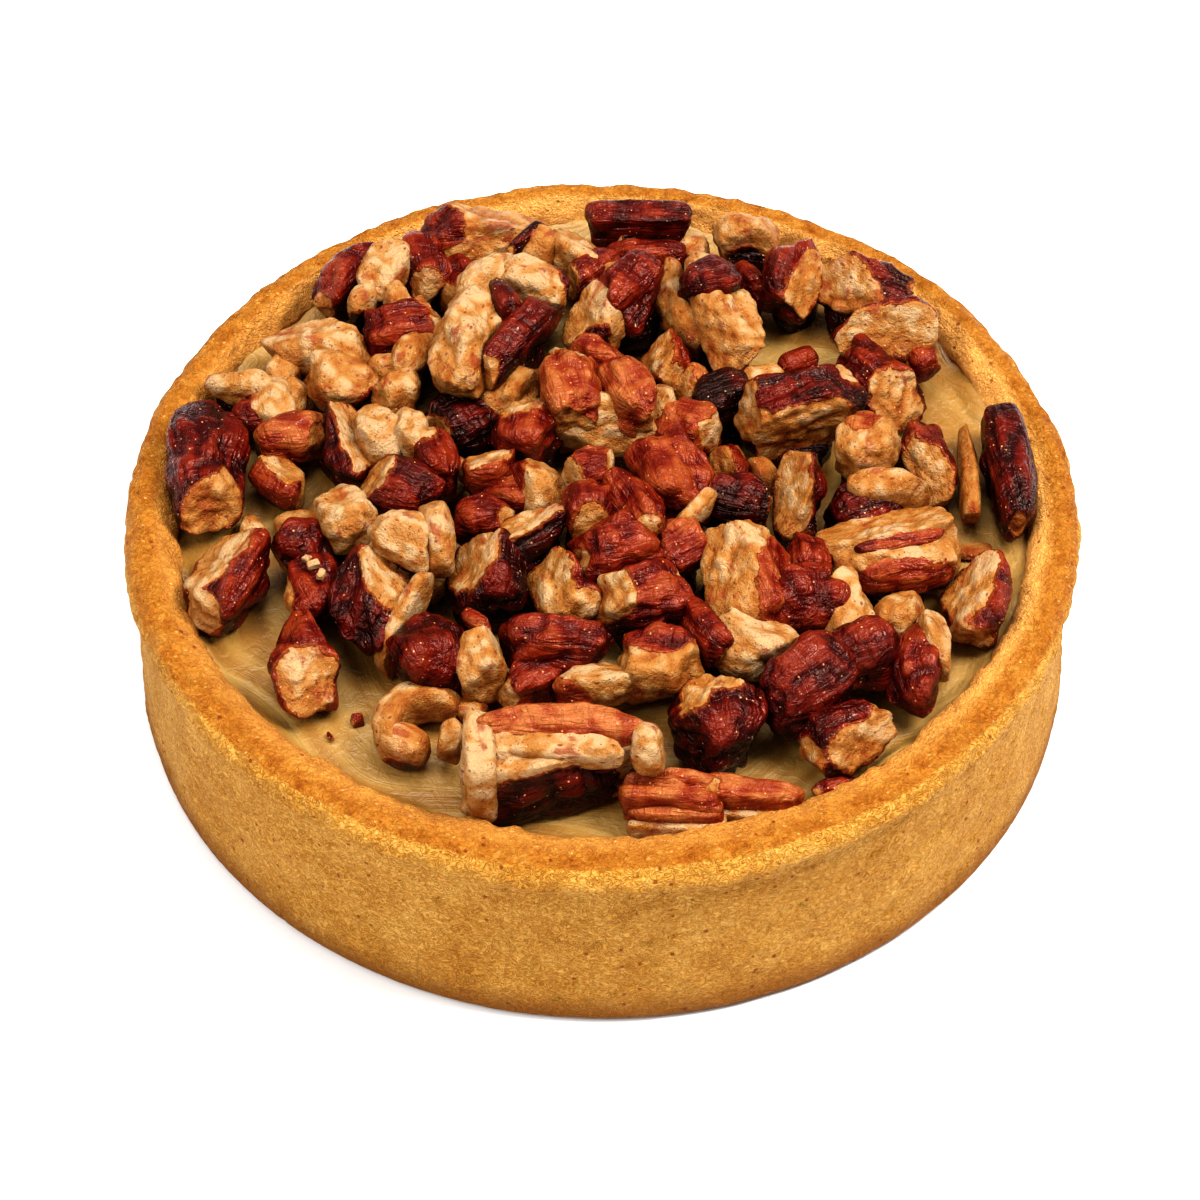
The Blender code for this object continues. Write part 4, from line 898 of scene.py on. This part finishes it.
def make_crust(material):
    """The crust as one mesh: its profile turned round, with crumb, an uneven rim and a shifted opening."""
    profile = crust_profile()
    angle = np.linspace(0, math.tau, CRUST_STEPS, endpoint=False)
    radius = profile[:, :1] + 0 * angle
    height = profile[:, 1:] + 0 * angle
    sweep = 0 * profile[:, :1] + angle
    slope = np.gradient(profile, axis=0)
    slope /= np.linalg.norm(slope, axis=1, keepdims=True)
    outward, upward = -slope[:, 1:] + 0 * angle, slope[:, :1] + 0 * angle
    points = np.stack([radius * np.cos(sweep), radius * np.sin(sweep), height], -1).reshape(-1, 3)
    normal = np.stack([outward * np.cos(sweep), outward * np.sin(sweep), upward], -1).reshape(-1, 3)
    above = smooth_step(0.5, 2.5, points[:, 2])
    rough = sum(depth * noise(points, size, seed) for depth, size, seed in CRUMB)
    pits = -PIT_DEPTH * smooth_step(0.45, 0.8, noise(points, 1.3, 14))
    edge = smooth_step(*EDGE_HEIGHTS, points[:, 2])
    crumbly = EDGE_CRUMB * noise(points, 1.6, 15) * edge
    points = points + normal * ((rough + pits + crumbly) * (0.15 + 0.85 * above))[:, None]
    reach = np.hypot(points[:, 0], points[:, 1])
    turn = np.arctan2(points[:, 1], points[:, 0])
    lift = smooth_step(RIM_WAVE_FOOT, PIE_HEIGHT, points[:, 2])
    inside = smooth_step(CREST_RADIUS, WALL_INSIDE_TOP + 0.3, reach) * smooth_step(5.0, 15.0, points[:, 2])
    points[:, 2] = np.maximum(points[:, 2] + RIM_WAVE * rim_wave(turn) * lift, 0.0)
    front = smooth_step(0.1, 1.0, -np.sin(turn))
    drips = noise(points, 3.2, 16) + 0.6 * noise(points, 8.0, 17)
    points[:, 1] += (OPENING_SHIFT + FRONT_SHIFT * front) * inside
    thick = 1 - 0.5 * inside * smooth_step(-0.2, 0.8, drips) / np.maximum(reach, 1.0)
    points[:, :2] *= thick[:, None]
    faces = grid_faces(len(profile), CRUST_STEPS)
    thing = mesh_object("crust_baked", points, faces[:, ::-1], material)
    lip = BROWN_RADIUS - BROWN_FRONT * front
    browned = smooth_step(*BROWN_HEIGHTS, points[:, 2]) * smooth_step(lip + 0.4, lip - 0.6, reach)
    add_values(thing, "browned", browned, "FLOAT")
    add_values(thing, "foot", 1 - smooth_step(*FOOT_HEIGHTS, points[:, 2]), "FLOAT")
    add_values(thing, "seam", smooth_step(*SEAM_HEIGHTS, points[:, 2]) * inside, "FLOAT")
    # Painted light on the inner slope, strongest towards the back right.
    back_right_light = smooth_step(-0.4, 0.6, np.cos(turn - math.radians(50)))
    add_values(thing, "inner", smooth_step(0.0, 0.7, inside) * (0.3 + 0.7 * back_right_light), "FLOAT")
    return thing


def swirl(x, y):
    """Soft strokes of a palette knife in the cream, between 0 and 1."""
    radius = np.hypot(x, y)
    angle = np.arctan2(y, x)
    strokes = 0.5 + 0.5 * np.sin(radius * 0.42 + 2.0 * angle + 0.8 * np.sin(3 * angle))
    return strokes * (0.6 + 0.4 * np.cos(angle * 2 + 1.0))


def make_cream(material):
    """The cream's top as one mesh, with low strokes round the middle and a climbing edge."""
    radius = np.linspace(0.4, 1.0, CREAM_RINGS) ** 0.8 * CREAM_RADIUS
    radius = np.concatenate([np.linspace(0.5, radius[0], 12)[:-1], radius])
    angle = np.linspace(0, math.tau, CREAM_STEPS, endpoint=False)
    reach, sweep = np.meshgrid(radius, angle, indexing="ij")
    x, y = (reach * np.cos(sweep)).ravel(), (reach * np.sin(sweep)).ravel()
    flat = np.stack([x, y, 0 * x], 1)
    warp = 6 * noise(flat, 16.0, 21)
    flow = np.stack([np.hypot(x, y) + warp, np.arctan2(y, x) * 8, 0 * x], 1)
    strokes = noise(flow, (2.2, 9.0, 1.0), 22)
    height = FILLING_TOP - 0.2 - SWIRL_DEPTH * 0.35 * swirl(x, y)
    height = height + 0.1 * (0.4 - np.abs(strokes)) + 0.12 * noise(flat, 5.0, 23)
    edge = smooth_step(CREAM_RADIUS - 3.2, CREAM_RADIUS - 1.2, np.hypot(x, y) + noise(flat, 6.0, 24))
    height = height + CREAM_CLIMB * edge * (0.7 + noise(flat, 6.0, 25))
    points = np.stack([x, y + OPENING_SHIFT, np.minimum(height, FILLING_TOP + CREAM_CLIMB)], 1)
    faces = grid_faces(len(radius), CREAM_STEPS)
    thing = mesh_object("cream_top", points, faces, material)
    add_values(thing, "stroke", smooth_step(-0.5, 0.5, strokes), "FLOAT")
    add_values(thing, "flow", flow, "FLOAT_VECTOR")
    return thing


def dress(thing, slot, *nodes):
    """Give a piece its body and hide the solids that it stands for. The slot is not used."""
    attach(thing, "root")
    if nodes:
        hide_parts(*nodes)


def add_camera():
    elevation = math.radians(CAMERA_ELEVATION)
    backward = Vector((0, -math.cos(elevation), math.sin(elevation)))
    camera = bpy.data.objects.new("camera", bpy.data.cameras.new("camera"))
    camera.data.lens = CAMERA_LENS
    camera.data.sensor_width = SENSOR_WIDTH
    camera.data.clip_start = 0.01
    camera.location = Vector(CAMERA_TARGET) * MM + backward * CAMERA_DISTANCE * MM
    camera.rotation_euler = backward.to_track_quat("Z", "Y").to_euler()
    bpy.context.scene.collection.objects.link(camera)
    bpy.context.scene.camera = camera


def add_light(name, at, size, watts):
    """A square soft box that faces the pie."""
    lamp = bpy.data.lights.new(name, "AREA")
    lamp.size = size
    lamp.energy = watts
    thing = bpy.data.objects.new(name, lamp)
    thing.location = at
    thing.rotation_euler = Vector(at).to_track_quat("Z", "Y").to_euler()
    bpy.context.scene.collection.objects.link(thing)


def add_studio():
    world = bpy.data.worlds.new("studio")
    bpy.context.scene.world = world
    world.use_nodes = True
    sky = world.node_tree.nodes["Background"]
    sky.inputs["Color"].default_value = (1.0, 1.0, 1.0, 1.0)
    sky.inputs["Strength"].default_value = SKY_STRENGTH
    for light in LIGHTS:
        add_light(*light)
    bpy.ops.mesh.primitive_plane_add(size=FLOOR_SIZE, location=(0, 0, -FLOOR_DROP))
    floor = bpy.context.object
    floor.name = "floor"
    paper = Graph("floor").finish(Base_Color=FLOOR_COLOUR, Roughness=0.9, Specular_IOR_Level=0.1)
    floor.data.materials.append(paper)
    bpy.context.scene.view_settings.view_transform = "Standard"
    bpy.context.scene.view_settings.look = "High Contrast"


add_camera()
add_studio()
pecan = pecan_material()
dress(make_crust(crust_material()), "crust", "crust")
dress(make_cream(cream_material()), "filling", "filling")
for group, (numbers, nodes) in GROUPS.items():
    parts = [(index, part) for index, part in enumerate(LAYOUT) if part.piece in numbers]
    dress(joined_fragments(group, parts, pecan), "pecan", *nodes)
chips = [(CHIP_SEEDS + index, part) for index, part in enumerate(CHIPS)]
dress(joined_fragments("pecan_chips", chips, pecan), "pecan")
dress(joined_fragments("pecans_below", supports(), pecan, SUPPORT_DETAIL), "pecan", "pecan_heap")
